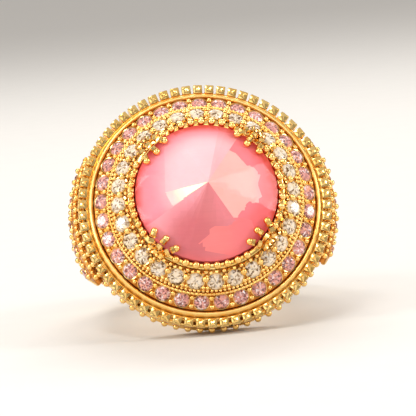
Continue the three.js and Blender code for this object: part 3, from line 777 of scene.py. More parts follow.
# ---- The centre stone ----
# How the directions that the stone's painted reflection pattern is drawn along lie to the head.
VIEW_LEAN = math.radians(17)
VIEW_SIDE = math.radians(4.2)
VIEW_ROLL = math.radians(4.75)

# Painted reflections of the pavilion's facets that show in the stone, as it is faced, in millimetres from its
# point; the flare is a painted highlight.
KITE = [
    (0, 0), (1.81, 2.61), (2.35, 2.35), (3.28, 1.26), (3.70, 1.30), (4.41, 0.46),
    (4.16, -0.29), (4.46, -1.22), (3.87, -1.81), (3.36, -1.72), (2.40, -2.98), (2.06, -3.07),
]
FLARE_HIGHLIGHT = [(0, 0), (-3.57, -0.84), (-2.98, -1.97)]
EMBER = [
    (0, -4.0), (0.5, -3.7), (1.6, -3.7), (2.7, -3.0), (3.6, -3.3), (4.0, -4.4),
    (2.4, -6.3), (-0.2, -5.8), (-0.85, -5.1), (-0.1, -4.5),
]
BLUSH = [(0, 0), (1.1, 4.76), (-3.6, 4.3), (-3.6, -0.9)]
RAYS = [(4.3, 9.0), (-5.0, -1.25), (-5.0, -3.5), (4.0, -5.93)]  # lines from the point through these
GRID = 0.6  # spacing of the lines that give the colours further corners
GIRDLE_MIDDLE = Vector((-0.24, -1.14))
DARK_FROM, DARK_TO = 215, 304  # degrees that the darker painted reflections of the lower facets take up
STRIPE_FROM, STRIPE_TO = 55, 85  # and the greyer painted stripe beside the lighter painted sector


def facing_axes():
    """Two directions in the ring's frame: to the right and up for someone who faces the stone."""
    right = Vector((math.cos(VIEW_SIDE), 0, math.sin(VIEW_SIDE)))
    up = Vector((0, math.cos(VIEW_LEAN), math.sin(VIEW_LEAN)))
    cosine, sine = math.cos(VIEW_ROLL), math.sin(VIEW_ROLL)
    return right * cosine - up * sine, right * sine + up * cosine


def inside(point, outline):
    """True if a flat point lies in an outline."""
    found = False
    for (ax, ay), (bx, by) in zip(outline, outline[1:] + outline[:1]):
        if (ay > point[1]) != (by > point[1]):
            if point[0] < (bx - ax) * (point[1] - ay) / (by - ay) + ax:
                found = not found
    return found


def smooth_step(low, high, value):
    share = min(max((value - low) / (high - low), 0.0), 1.0)
    return share * share * (3 - 2 * share)


def stone_tint(middle, spot):
    """The stone's painted reflection colour at a spot, in the facet round a middle, both as they are faced.
    """
    c = colours()
    blush, rose, mauve, plum = (Vector(x) for x in (c.blush, c.rose, c.mauve, c.plum))
    salmon, ember, coral, flare_highlight = (Vector(x) for x in (c.salmon, c.ember, c.coral, c.flare_highlight))
    x, y = spot
    away = math.hypot(x, y)
    angle = math.degrees(math.atan2(middle[1], middle[0])) % 360
    # The flare is a painted highlight, near white by the point and fading to blush.
    if inside(middle, FLARE_HIGHLIGHT):
        tint = flare_highlight.lerp(blush, 0.85 * smooth_step(1.9, 3.3, away))
    elif inside(middle, KITE):
        tint = salmon.lerp(rose, 0.3 * smooth_step(3.4, 4.6, x))
    elif inside(middle, EMBER):
        tint = ember.lerp(rose.lerp(coral, 0.6), 0.4 + 0.45 * smooth_step(0.9, 3.4, x))
    elif inside(middle, BLUSH):
        tint = blush.lerp(rose, 0.05 + 0.75 * smooth_step(2.8, 4.9, away))
    elif DARK_FROM < angle < DARK_TO:
        across = (angle - DARK_FROM) / (DARK_TO - DARK_FROM)
        tint = rose.lerp(blush, 0.35).lerp(mauve, smooth_step(0.08, 0.5, across))
        tint = tint.lerp(rose, 0.35 * smooth_step(0.62, 1.0, across))
        dark = 1 - smooth_step(0.8, 3.0, math.hypot((x + 1.5) / 1.1, (y + 4.6) / 1.3))
        tint = tint.lerp(plum, 0.8 * dark)
    elif STRIPE_FROM < angle < STRIPE_TO:
        tint = blush.lerp(mauve, 0.3 + 0.35 * smooth_step(3.2, 4.6, away))
    elif angle <= STRIPE_FROM or angle >= DARK_TO:
        tint = rose.lerp(coral, 0.45 + 0.4 * smooth_step(3.8, 5.0, away))
        tint = tint.lerp(mauve, 0.4 * smooth_step(1.0, 3.4, y))
    else:
        tint = rose.lerp(blush, 0.5 * (1 - smooth_step(3.4, 5.0, away)))
    # Towards the girdle the colour goes to coral, and at its very edge to a red that is a painted reflection
    # of the cup's gold.
    out = math.hypot(x - GIRDLE_MIDDLE.x, y - GIRDLE_MIDDLE.y)
    tint = tint.lerp(coral, 0.75 * smooth_step(4.7, 6.0, out))
    return tint.lerp(Vector(c.girdle), 0.9 * smooth_step(5.5, 5.85, out))


def flare_highlight_share(spot):
    """How brightly the painted flare highlight glows at a spot: most in its middle, fading at its far end."""
    away = math.hypot(*spot)
    return smooth_step(0.0, 0.8, away) * (1 - smooth_step(1.7, 3.2, away))


def cut_centre_stone(s):
    """The round stone: main and break facets on its crown, sixteen facets on its pavilion."""
    bm = bmesh.new()
    lowest = s.girdle_low - s.stone_pavilion
    apex = s.girdle_high + s.stone_point
    bmesh.ops.create_cone(
        bm, cap_ends=True, segments=112, radius1=s.stone_radius, radius2=s.stone_radius,
        depth=apex - lowest, matrix=Matrix.Translation((0, 0, (lowest + apex) / 2)),
    )
    for count, steepness, shift in ((8, 1.0, 0.0), (16, 1.4, 0.5)):
        for angle in angles(count, shift):
            away = on_head(angle, steepness * s.stone_point, s.stone_radius)
            slice_off(bm, (0, 0, s.girdle_high + steepness * s.stone_point), away)
    for angle in angles(16):
        away = on_head(angle, s.stone_pavilion, -s.stone_radius * math.cos(math.pi / 16))
        slice_off(bm, (0, 0, lowest), away)
    return bm, Vector((0, 0, apex))


def draw_on_stone(bm, s, apex):
    """Cuts the crown along the lines of its painted reflection pattern and gives each corner its colour."""
    right, up = facing_axes()
    lines = []
    for outline in (KITE, FLARE_HIGHLIGHT, EMBER, BLUSH):
        lines += list(zip(outline, outline[1:] + outline[:1]))
    lines += [((0, 0), ray) for ray in RAYS]
    reach = int(s.stone_radius / GRID) + 2
    lines += [((step * GRID, 0), (step * GRID, 1)) for step in range(-reach, reach)]
    lines += [((0, step * GRID), (1, step * GRID)) for step in range(-reach - 2, reach)]
    for (ax, ay), (bx, by) in lines:
        square = right * (by - ay) - up * (bx - ax)
        crown = [face for face in bm.faces if face.calc_center_median().z > s.girdle_high - 0.5]
        edges = {edge for face in crown for edge in face.edges}
        verts = {vert for face in crown for vert in face.verts}
        start = apex + right * ax + up * ay
        bmesh.ops.bisect_plane(
            bm, geom=[*verts, *edges, *crown], dist=TOUCH, plane_co=start, plane_no=square,
        )
    layer = bm.loops.layers.float_color.new("tint")
    # How strongly each corner glows as the painted flare highlight.
    glow = bm.loops.layers.float.new("flare_highlight")
    for face in bm.faces:
        centre = face.calc_center_median() - apex
        middle = (centre.dot(right), centre.dot(up))
        for loop in face.loops:
            away = loop.vert.co - apex
            spot = (away.dot(right), away.dot(up))
            loop[layer] = opaque(stone_tint(middle, spot))
            loop[glow] = flare_highlight_share(spot) if inside(middle, FLARE_HIGHLIGHT) else 0.0


def build_centre_stone():
    s = ring_layout()
    bm, apex = cut_centre_stone(s)
    draw_on_stone(bm, s, apex)
    place_piece("centre_stone", bm, ["centre stone"])


# ---- Small stones ----
def cut_small_stone(radius, depth):
    """A round stone with its girdle at the origin: table, stars, mains, breaks and pavilion."""
    crown, table, girdle = 0.24, 0.56, 0.04
    star_slope, break_slope = 0.34, 1.05
    bm = bmesh.new()
    bmesh.ops.create_cone(bm, cap_ends=True, segments=16, radius1=radius, radius2=radius, depth=2 * depth)
    slice_off(bm, (0, 0, crown), (0, 0, 1))
    for angle in angles(8):
        slope = crown / (radius * (1 - table))
        out = on_head(angle, radius * math.cos(math.pi / 16), 0)
        slice_off(bm, out + Vector((0, 0, girdle)), on_head(angle, slope, 1.0))
        slice_off(bm, out, on_head(angle, depth, -radius))
    for angle in angles(8, 0.5):
        slice_off(bm, on_head(angle, radius * table, crown), on_head(angle, star_slope, 1.0))
        slice_off(bm, on_head(angle, radius, girdle), on_head(angle, break_slope, 1.0))
    layer = bm.loops.layers.uv.new("facets")
    for face in bm.faces:
        for loop in face.loops:
            spot = loop.vert.co / radius
            loop[layer].uv = ((spot.x + 1) / 2, (spot.y + 1) / 2)
    return bm


def set_stones(stone, places, seed):
    """Copies of a stone at its places, each with its own number and a random shift of painted glints for each
    facet.
    """
    dice = random.Random(seed)
    bm = bmesh.new()
    number_layer = bm.faces.layers.float.new("stone_number")
    glint_layer = bm.faces.layers.float.new("glint_shift")
    spun = [place @ Matrix.Rotation(dice.uniform(0, FULL_TURN), 4, "Z") for place in places]
    for number, faces in enumerate(stamp(bm, stone, spun)):
        for face in faces:
            face[number_layer] = number
            face[glint_layer] = dice.random() * 0.6
    return bm


def build_row(name, row, seed, nodes):
    """A row of like stones as one piece. Its material has the piece's name without its s."""
    s = ring_layout()
    bm = set_stones(cut_small_stone(row.stone, row.depth), row.places(s.rim_height), seed)
    place_piece(name, bm, [name[:-1].replace("_", " ")], nodes, smooth=False)


# ---- Dome, cup and claws ----
def stone_seat(radius, depth):
    """The tapered hole that a small stone sits in."""
    bm = bmesh.new()
    low, high, room = -depth - 0.1, 0.16, 0.11
    bmesh.ops.create_cone(
        bm, cap_ends=True, segments=20, radius1=radius * 0.2, radius2=radius + room,
        depth=high - low, matrix=Matrix.Translation((0, 0, (low + high) / 2)),
    )
    return bm


def bright_ring(radius, thickness):
    """A thin raised lip of metal that is pushed over the girdle of a stone of this radius."""
    return turned(circle_outline(radius + LIP_GAP, 0, thickness, 5), 20)


def crescent(radius, thickness):
    """A raised arch of metal round the inner side of a stone, thinner towards its ends."""
    bm = bmesh.new()
    reach, thin = math.radians(72), 0.45
    shares = [step / 5 - 1 for step in range(11)]
    path = [on_head(math.pi + reach * share, radius, 0) for share in shares]
    thick = [thickness * (thin + (1 - thin) * math.cos(0.5 * math.pi * share)) for share in shares]
    rod(bm, path, thick, 7)
    return bm


DOME_UNDERSIDE, DOME_DEPTH = -0.75, 1.85  # under the rim's top, and down the cup's wall
RIM_GAP = 0.03
NOTCH_DEPTH, NOTCH_HEIGHT, NOTCH_ROOM = 0.9, 2.4, 0.1  # cut for a claw's root, and its side room
ARCH_RADIUS, ARCH_THICKNESS, ARCH_HEIGHT = 0.19, 0.16, 0.17  # arch over a stone's girdle
LIP_GAP, LIP_HEIGHT, CLEAR_LIP, PINK_LIP = 0.05, 0.05, 0.05, 0.045
STEP_GRAINS, STEP_GRAIN = 140, 0.15  # fine beads along the step: how many, and their radius
WALL_GRAIN, WALL_GRAIN_OUT = 0.2, 0.16  # beads beside the cup: radius, and past the dome's wall
LEDGE_GRAINS, LEDGE_GRAIN = 150, 0.18
CUP_BEAD, CUP_BEAD_OUT = 0.34, 0.04  # radius, and past the middle of the cup's wall


def dome_outline(s):
    outer = s.rim_radius - s.rim_width - RIM_GAP
    clear_low, clear_high = (s.clear.point(side * s.clear.stone, 0) for side in (1, -1))
    pink_low, pink_high = (s.pink.point(side * s.pink.stone, 0) for side in (1, -1))
    corners = [
        (s.dome_wall, s.dome_top - DOME_DEPTH), (s.dome_wall, s.dome_top), clear_high, clear_low,
        (s.step, clear_low[1] - 0.08), (s.step, s.ledge), pink_high, pink_low,
        (outer, 0), (outer, DOME_UNDERSIDE), (s.step - 0.5, DOME_UNDERSIDE),
    ]
    return softened([(radius, s.rim_height + height) for radius, height in corners], 0.07, 2)


def clear_of_claws(s, angle, room):
    return min(apart(angle, claw) for claw in s.claw_angles) > room


def row_beads(bm, s, row, along, up, bead, spread):
    """Grain beads between a row's stones. A spread sets two side by side."""
    radius, height = row.point(along * row.stone, up)
    for side in (-1, 1) if spread else (0,):
        turns = [angle + side * spread / radius for angle in angles(row.count, 0.5)]
        beads_round(bm, turns, radius, s.rim_height + height, bead)


def build_dome():
    s = ring_layout()
    cutter = bmesh.new()
    for row in (s.clear, s.pink):
        stamp(cutter, stone_seat(row.stone, row.depth), row.places(s.rim_height))
    notch = Matrix.Diagonal((NOTCH_DEPTH, s.claw_width + NOTCH_ROOM, NOTCH_HEIGHT, 1))
    for angle in s.claw_angles:
        place = at(angle, s.cup_radius, s.rim_height + s.dome_top)
        bmesh.ops.create_cube(cutter, size=1.0, matrix=place @ notch)
    bm = carve(turned(dome_outline(s)), cutter)
    # The dome's body takes the recess gold, darkened as painted shade; the lips, arches and beads take the
    # polished gold.
    first = use_material(bm, IN_SHADE)
    for row, lip in ((s.clear, CLEAR_LIP), (s.pink, PINK_LIP)):
        stamp(bm, bright_ring(row.stone, lip), row.places(s.rim_height, up=LIP_HEIGHT))
    arch = crescent(s.clear.stone + ARCH_RADIUS, ARCH_THICKNESS)
    stamp(bm, arch, s.clear.places(s.rim_height, up=ARCH_HEIGHT))
    # Where the beads lie down the slope, in stones' radii, their height, radius and spread.
    for row, along, up, bead, spread in (
        (s.clear, -0.36, 0.14, 0.31, 0),
        (s.clear, 0.72, 0.08, 0.2, 0.17),
        (s.pink, -0.55, 0.08, 0.25, 0),
        (s.pink, 0.62, 0.06, 0.24, 0),
    ):
        row_beads(bm, s, row, along, up, bead, spread)
    step_height = s.rim_height + s.clear.point(s.clear.stone, 0)[1] - JOIN
    beads_round(bm, angles(STEP_GRAINS), s.step + 0.01, step_height, STEP_GRAIN, 8, 6)
    free = [angle for angle in angles(s.clear.count, 0.5) if clear_of_claws(s, angle, 0.12)]
    beads_round(bm, free, s.dome_wall + WALL_GRAIN_OUT, s.rim_height + s.dome_top, WALL_GRAIN)
    use_material(bm, SHOWN, first)
    place_piece("pave_dome", bm, [POLISHED, SHADED_RECESS])


def build_grain_wire():
    s = ring_layout()
    radius, height = s.step + 0.17, s.rim_height + s.ledge + 0.2
    bm = turned(circle_outline(radius, height, thickness=0.11, sides=6))
    places = [at(angle, radius, height) for angle in angles(LEDGE_GRAINS)]
    add_beads(bm, places, LEDGE_GRAIN, 8, 6, shape=(1, 0.88, 1))
    place_piece("grain_wire", bm, [POLISHED])


def build_cup():
    s = ring_layout()
    foot, seat = s.base_height + 0.63, s.girdle_low - 0.06
    top = s.rim_height + s.cup_top
    slope = s.stone_pavilion / s.stone_radius
    corners = [
        (CUP_BORE, foot), (CUP_FOOT, foot), (s.cup_radius, top - 1.25), (s.cup_radius, top - 0.34),
        (s.cup_seat + 0.15, top - 0.24), (s.cup_seat, top - 0.28), (s.cup_seat, seat),
        (CUP_BORE, seat - slope * (s.cup_seat - CUP_BORE)),
    ]
    bm = turned(softened(corners, 0.08, 2))
    # Faces inside the seat take the recess gold, darkened as painted shade.
    for face in bm.faces:
        face.material_index = int(face.calc_center_median().xy.length < s.cup_seat + 0.1)
    first = len(bm.faces)
    free = [angle for angle in angles(s.cup_beads) if clear_of_claws(s, angle, 0.215)]
    beads_round(bm, free, (s.cup_seat + s.cup_radius) / 2 + CUP_BEAD_OUT, top, CUP_BEAD, 10, 7)
    use_material(bm, SHOWN, first)
    place_piece("stone_cup", bm, [POLISHED, SHADED_RECESS])


def build_claw(name, angle):
    """One claw: a ridged root on the cup's wall and three fingers over the stone's edge."""
    s = ring_layout()
    top = s.rim_height + s.cup_top
    root_radius = s.cup_radius + ROOT_OUT
    bm = bmesh.new()
    shape = Matrix.Diagonal((ROOT_DEPTH, s.claw_width * 1.25, ROOT_TALL, 1))
    bmesh.ops.create_cube(bm, size=1.0, matrix=shape)
    bevel(bm, bm.edges[:], 0.08)
    bmesh.ops.transform(bm, matrix=at(angle, root_radius, top - 0.78), verts=bm.verts)
    # The ridged root takes the recess gold, darkened as painted shade.
    first = use_material(bm, IN_SHADE)
    tip_height = s.girdle_high - s.rim_height + s.stone_point * 0.4 / s.stone_radius + 0.3
    for side in (-1, 0, 1):
        tip_radius = s.stone_radius - (TIP_SHORT if side else MIDDLE_TIP_SHORT)
        # How far each point has fanned out, with its radius and its height over the rim.
        points = (
            (0, root_radius + 0.02, s.cup_top - 1.35),
            (0.05, root_radius + 0.06, s.cup_top - 0.2),
            (0.45, s.cup_radius - 0.18, tip_height + 0.02),
            (1.0, tip_radius, tip_height),
        )
        finger = [
            on_head(angle + side * (FAN_ROOT + FAN_SPREAD * fan), radius, s.rim_height + height)
            for fan, radius, height in points
        ]
        path = curve_through(finger, 4)
        last = len(path) - 1
        swell = [FINGER_SWELL * smooth_step(0.3, 0.55, number / last) for number in range(last + 1)]
        rod(bm, path, [FINGER + more for more in swell])
        add_beads(bm, [path[-1]], FINGER_TIP, 12, 8)
    for side in (-1.5, -0.5, 0.5, 1.5):
        ridge = [on_head(angle + side * RIDGE_GAP, root_radius + out, top + up) for out, up in RIDGE]
        path = curve_through(ridge, 3)
        rod(bm, path, [RIDGE_RADIUS] * len(path))
    use_material(bm, SHOWN, first)
    bmesh.ops.recalc_face_normals(bm, faces=bm.faces)
    place_piece(name, bm, [POLISHED, SHADED_RECESS])


CLAW_NAMES = ("claw_upper_right", "claw_upper_left", "claw_lower_left", "claw_lower_right")
ROOT_DEPTH, ROOT_TALL, ROOT_OUT = 0.34, 1.5, 0.25  # of a claw's root, and its middle past the cup
FINGER, FINGER_SWELL, FINGER_TIP = 0.18, 0.13, 0.32  # radii: at the root, what it gains, and its bead
FAN_ROOT, FAN_SPREAD = 0.045, 0.165  # turn from finger to finger at the root, and what is added
TIP_SHORT, MIDDLE_TIP_SHORT = 0.34, 0.58  # how far the tips stay inside the stone's edge
RIDGE_RADIUS, RIDGE_GAP = 0.14, 0.056
RIDGE = ((0.1, -1.2), (0.32, -0.28), (0.12, 0.08), (-0.3, 0.16))  # out from the root and up


# ---- Rim, fence and wires ----
def build_rim():
    s = ring_layout()
    inner = s.rim_radius - s.rim_width
    section = [
        (inner, -s.rim_depth), (s.rim_radius, -s.rim_depth), (s.rim_radius, -0.1),
        (s.rim_radius - 0.1, 0.07), (inner + s.rim_width / 2, 0.13), (inner + 0.1, 0.07), (inner, -0.1),
    ]
    bm = turned(softened([(radius, s.rim_height + up) for radius, up in section], 0.09, 3))
    place_piece("polished_rim", bm, [BRUSHED])


def stud(width, depth, height):
    """One square stud: its edges are rounded off and its top is a low pyramid."""
    bm = bmesh.new()
    peak = 0.3 * height
    block = Matrix.Diagonal((depth, width, height - peak, 1))
    bmesh.ops.create_cube(bm, size=1.0, matrix=Matrix.Translation((0, 0, -(height + peak) / 2)) @ block)
    bevel(bm, bm.edges[:], 0.07)
    top = max(bm.faces, key=lambda face: face.calc_center_median().z)
    poked = bmesh.ops.poke(bm, faces=[top])
    poked["verts"][0].co.z += peak * 0.85
    return bm


def build_fence():
    s = ring_layout()
    strand, strand_gap, strand_drop, stud_gap, stud_share = 0.085, 0.04, 0.45, 0.21, 0.8
    inner = s.rim_radius + stud_gap
    bm = turned(circle_outline(s.rim_radius + strand_gap + strand, s.rim_height - strand_drop, strand, 8))
    width = stud_share * FULL_TURN * inner / s.stud_count
    middle = inner + s.stud_length / 2
    places = [at(angle, middle, s.rim_height + 0.06) for angle in angles(s.stud_count)]
    stamp(bm, stud(width, s.stud_length + 0.16, s.stud_height), places)
    place_piece("stud_fence", bm, [POLISHED])


def build_bead_wire():
    s = ring_layout()
    strand, strand_out, bead, bead_out = 0.16, 0.2, 0.3, 0.52
    bm = turned(circle_outline(s.gallery_radius + strand_out, s.bead_wire_height, strand, 8))
    beads_round(bm, angles(s.stud_count), s.gallery_radius + bead_out, s.bead_wire_height, bead, 10, 7)
    place_piece("bead_wire", bm, [POLISHED])


def build_gallery():
    s = ring_layout()
    wall, tall, window_radius, window_stretch = 0.4, 1.7, 0.5, 0.8
    bottom = s.base_height + 0.74
    top = bottom + tall
    inner = s.gallery_radius - wall
    corners = [(inner, bottom), (s.gallery_radius, bottom), (s.gallery_radius, top), (inner, top)]
    body = turned(softened(corners, 0.06, 2))
    cutter = bmesh.new()
    window = bmesh.new()
    bmesh.ops.create_cone(
        window, cap_ends=True, segments=24, radius1=window_radius, radius2=window_radius,
        depth=4 * wall, matrix=Matrix.Rotation(math.pi / 2, 4, "Y"),
    )
    for vert in window.verts:
        if abs(vert.co.y) > TOUCH:
            vert.co.y += math.copysign(window_stretch, vert.co.y)
    places = [at(angle, inner, bottom + tall / 2) for angle in angles(s.gallery_windows)]
    stamp(cutter, window, places)
    place_piece("pierced_gallery", carve(body, cutter), [BRUSHED])


def build_base_wire():
    s = ring_layout()
    thickness = 0.35
    bm = turned(circle_outline(s.gallery_radius - 0.128, s.base_height + thickness, thickness, 14))
    place_piece("base_wire", bm, [POLISHED])


def build_base_plate():
    s = ring_layout()
    outer, hole_radius = s.gallery_radius - 0.52, 1.15
    low = s.base_height + 0.04
    high = low + 0.55
    body = turned(softened([(CUP_BORE, low), (outer, low), (outer, high), (CUP_BORE, high)], 0.05, 2))
    cutter = bmesh.new()
    hole = bmesh.new()
    bmesh.ops.create_cone(
        hole, cap_ends=True, segments=28, radius1=hole_radius, radius2=hole_radius, depth=3.0,
    )
    stamp(cutter, hole, [at(angle, (outer + CUP_FOOT) / 2, low) for angle in angles(12)])
    place_piece("base_plate", carve(body, cutter), [BRUSHED])


# ---- Band and shoulders ----
def shoulder_radius(s, height):
    """Radius of the shoulders' outside about the head's axis."""
    share = min(max(height / (0.84 * s.plate_top), 0.0), 1.2)
    return s.band_radius + (s.shoulder_radius - s.band_radius) * math.sin(share * math.pi / 2)


def half_taper(s, height):
    """Half the band's width along the finger at a height: narrow behind, wide at the shoulders."""
    narrow, wide, straight_top = s.band_width / 2, s.shoulder_width / 2, -1.5
    if height <= straight_top:
        return narrow
    share = min((height - straight_top) / (s.plate_top - straight_top), 1.0)
    bend = narrow + 0.4
    return (1 - share) ** 2 * narrow + 2 * share * (1 - share) * bend + share**2 * wide


def bent_points(start, bend, end, steps):
    shares = [step / steps for step in range(1, steps + 1)]
    return [start.lerp(bend, share).lerp(bend.lerp(end, share), share) for share in shares]


def band_stations(s):
    """Pairs of inner and outer points, from the middle of the back up to one shoulder's top."""
    top = s.base_height - 0.04
    opening = 0.6 * s.finger_radius
    end_angle = math.acos(opening / s.finger_radius)
    around, rising = 22, 16
    outer = [on_arc(s.band_radius, -math.pi / 2 * (1 - step / around)) for step in range(around + 1)]
    swell = Vector(((3 * s.band_radius + s.shoulder_radius) / 4, 3.0))
    outer += bent_points(Vector((s.band_radius, 0)), swell, Vector((s.shoulder_radius, top)), rising)
    inner = [on_arc(s.finger_radius, -math.pi / 2 * (1 - step / around)) for step in range(around + 1)]
    slanted = 4
    arc = rising - slanted
    inner += [on_arc(s.finger_radius, end_angle * step / arc) for step in range(1, arc + 1)]
    corner, tip = on_arc(s.finger_radius, end_angle), Vector((opening + 0.8, top))
    inner += [corner.lerp(tip, step / slanted) for step in range(1, slanted + 1)]
    return list(zip(inner, outer))


def on_arc(radius, angle):
    return Vector((radius * math.cos(angle), radius * math.sin(angle)))


def band_section(s, inner, outer):
    """One section's points: flat to the finger with eased edges, and domed outside."""
    half_out, half_in = half_taper(s, outer.y), half_taper(s, min(inner.y, outer.y))
    plain = 1 - smooth_step(-1.0, 1.4, outer.y)
    dome = 0.35 * plain + 0.04
    points = []
    for share in (-1, -0.96, -0.75, -0.4, 0, 0.4, 0.75, 0.96, 1):
        fall = dome * share**2 + (0.22 if abs(share) == 1 else 0)
        spot = outer.lerp(inner, min(fall / (outer - inner).length, 0.45))
        x, y = spot.x, share * half_out
        if spot.y > s.plate_bottom - 0.04:
            limit = shoulder_radius(s, min(spot.y, s.plate_top)) - s.plate_thickness - 0.04
            x = min(x, math.sqrt(limit**2 - y**2))
        points.append(Vector((x, y, spot.y)))
    for share in (1, 0.9, 0.45, 0, -0.45, -0.9, -1):
        spot = inner.lerp(outer, 0.16 if abs(share) == 1 else 0.0)
        points.append(Vector((spot.x, share * half_in, spot.y)))
    return points


def build_band():
    s = ring_layout()
    side = [band_section(s, inner, outer) for inner, outer in band_stations(s)]
    mirrored = [[Vector((-p.x, p.y, p.z)) for p in section] for section in side[:0:-1]]
    bm = bmesh.new()
    loops = []
    for section in mirrored + side:
        verts = [bm.verts.new(point) for point in section]
        loops.append([bm.edges.new(pair) for pair in zip(verts, verts[1:] + verts[:1])])
    for first, second in zip(loops, loops[1:]):
        bmesh.ops.bridge_loops(bm, edges=first + second)
    for loop in (loops[0], loops[-1]):
        bmesh.ops.contextual_create(bm, geom=loop)
    bmesh.ops.recalc_face_normals(bm, faces=bm.faces)
    place_piece("finger_band", bm, [BRUSHED])


STONE_ROWS = ((1.66, 5), (3.46, 2))  # drop under the plate's top, and how many
BEAD_ROWS = ((0.66, 10), (2.56, 8), (4.51, 5), (5.71, 3))
STONE_GAP_ROW = 0.42  # small beads lie this far over and under the first row of stones
SHOULDER_BEAD, STONE_GAP_BEAD, TOP_BEAD, TOP_GAP_BEAD = 0.27, 0.17, 0.31, 0.2
TOP_BEADS, TOP_INSET, TOP_GAP_OUT = 11, 0.3, 0.08
SHOULDER_LIP = 0.06


def fan(count, pitch):
    """Turns a pitch apart, spread evenly to both sides of none."""
    return [(number - (count - 1) / 2) * pitch for number in range(count)]


def shoulder_spots(s, rows, pitch, turn=0, lift=0):
    """Places on a shoulder's face, with Z out of it, or lifted off it along Z."""
    places = []
    for drop, count in rows:
        height = s.plate_top - drop
        for angle in fan(count, pitch):
            place = at(turn + angle, shoulder_radius(s, height), height, math.pi / 2)
            places.append(place @ Matrix.Translation((0, 0, lift)))
    return places


def shoulder_shell(s):
    """A shoulder plate on the +X side, bent round the head's axis and cut to the band's taper."""
    bm = bmesh.new()
    bmesh.ops.create_grid(bm, x_segments=24, y_segments=20, size=1.0)
    for vert in bm.verts:
        height = s.plate_bottom + (vert.co.y + 1) / 2 * (s.plate_top - s.plate_bottom)
        y = vert.co.x * half_taper(s, height)
        vert.co = (math.sqrt(shoulder_radius(s, height) ** 2 - y * y), y, height)
    bmesh.ops.recalc_face_normals(bm, faces=bm.faces)
    sheet = bmesh.ops.extrude_face_region(bm, geom=bm.faces[:])["geom"]
    moved = [item for item in sheet if isinstance(item, bmesh.types.BMVert)]
    for vert in moved:
        vert.co -= Vector((vert.co.x, vert.co.y, 0)).normalized() * s.plate_thickness
    bmesh.ops.recalc_face_normals(bm, faces=bm.faces)
    bevel(bm, [edge for edge in bm.edges if edge.calc_face_angle(0) > math.radians(50)], 0.07)
    return bm


def build_shoulder(side, turn):
    """A set plate on one side of the head, drawn on the +X side and then turned round to its own."""
    s = ring_layout()
    pitch = (s.shoulder_width / 2 - 1.48) / (2 * s.shoulder_radius)
    cutter = bmesh.new()
    stamp(cutter, stone_seat(s.shoulder_stone, SHOULDER_DEPTH), shoulder_spots(s, STONE_ROWS, pitch))
    bm = carve(shoulder_shell(s), cutter)
    # The plate's body takes the recess gold, darkened as painted shade.
    first = use_material(bm, IN_SHADE)
    lip = bright_ring(s.shoulder_stone, SHOULDER_LIP)
    stamp(bm, lip, shoulder_spots(s, STONE_ROWS, pitch, lift=0.03))
    add_beads(bm, shoulder_spots(s, BEAD_ROWS, pitch / 2, lift=0.08), SHOULDER_BEAD, 10, 7)
    drop, count = STONE_ROWS[0]
    gaps = [(drop + shift, count - 1) for shift in (-STONE_GAP_ROW, STONE_GAP_ROW)]
    add_beads(bm, shoulder_spots(s, gaps, pitch, lift=0.04), STONE_GAP_BEAD)
    edge_beads(bm, s)
    radius = shoulder_radius(s, s.plate_top) - TOP_INSET
    turns = fan(TOP_BEADS, pitch / 2)
    beads_round(bm, turns, radius, s.plate_top + JOIN, TOP_BEAD, 10, 7)
    turns = fan(TOP_BEADS - 1, pitch / 2)
    beads_round(bm, turns, radius + TOP_GAP_OUT, s.plate_top - JOIN, TOP_GAP_BEAD)
    use_material(bm, SHOWN, first)
    bmesh.ops.transform(bm, matrix=Matrix.Rotation(turn, 4, "Z"), verts=bm.verts)
    place_piece(f"{side}_shoulder_plate", bm, [POLISHED, SHADED_RECESS])
    stone = cut_small_stone(s.shoulder_stone, SHOULDER_DEPTH)
    gems = set_stones(stone, shoulder_spots(s, STONE_ROWS, pitch, turn), len(side))
    nodes = numbered(f"{side}_shoulder_stone", sum(count for _, count in STONE_ROWS))
    place_piece(f"{side}_shoulder_stones", gems, ["shoulder stone"], nodes, smooth=False)


def edge_beads(bm, s):
    """A line of fine grains along both slanted edges of a shoulder plate."""
    count, end_gap, inset, sunk, bead = 20, 0.3, 0.12, 0.18, 0.26
    spots = []
    for number in range(count):
        share = number / (count - 1)
        height = s.plate_bottom + end_gap + (s.plate_top - s.plate_bottom - 2 * end_gap) * share
        for side in (-1, 1):
            y = side * (half_taper(s, height) - inset)
            x = math.sqrt((shoulder_radius(s, height) - sunk) ** 2 - y * y)
            spots.append(Vector((x, y, height)))
    add_beads(bm, spots, bead)


# ---- Stage ----
def floor_material(name):
    material, tree, shader = new_material(name)
    grain = noise(tree, object_place(tree), scale=300.0, detail=4.0)
    shade = Vector(colours().floor)
    tree.links.new(mix_colour(tree, grain, shade * 0.96, shade), shader.inputs["Base Color"])
    set_shader(shader, Roughness=0.7)
    return material


LAMPS = {  # place, width and height in metres, and power in watts
    "front light": ((-0.05, -0.42, 0.24), 0.5, 0.28, 0.6),
    "top light": ((-0.08, -0.13, 0.28), 0.09, 0.06, 0.22),
    "left light": ((-0.26, -0.1, 0.12), 0.06, 0.14, 0.36),
    "right light": ((0.27, -0.09, 0.12), 0.06, 0.14, 0.36),
    "back light": ((0.02, 0.22, 0.24), 0.3, 0.08, 0.5),
}
SKY = [(0.0, (0.32, 0.31, 0.3)), (0.35, (0.4, 0.39, 0.38)), (0.8, (0.7, 0.68, 0.66))]
FLOOR_SIZE = 3.0  # metres from its middle to each side
CAMERA_SIDE, CAMERA_HEIGHT, CAMERA_ROLL = (math.radians(turn) for turn in (-4.2, 7.2, -4.7))
CAMERA_DISTANCE, CAMERA_WIDTH = 230 * MM, 35.4 * MM  # to the rim, and the view's width there
AIM_RIGHT, AIM_DOWN = 0.25 * MM, 0.37 * MM  # past the middle of the rim


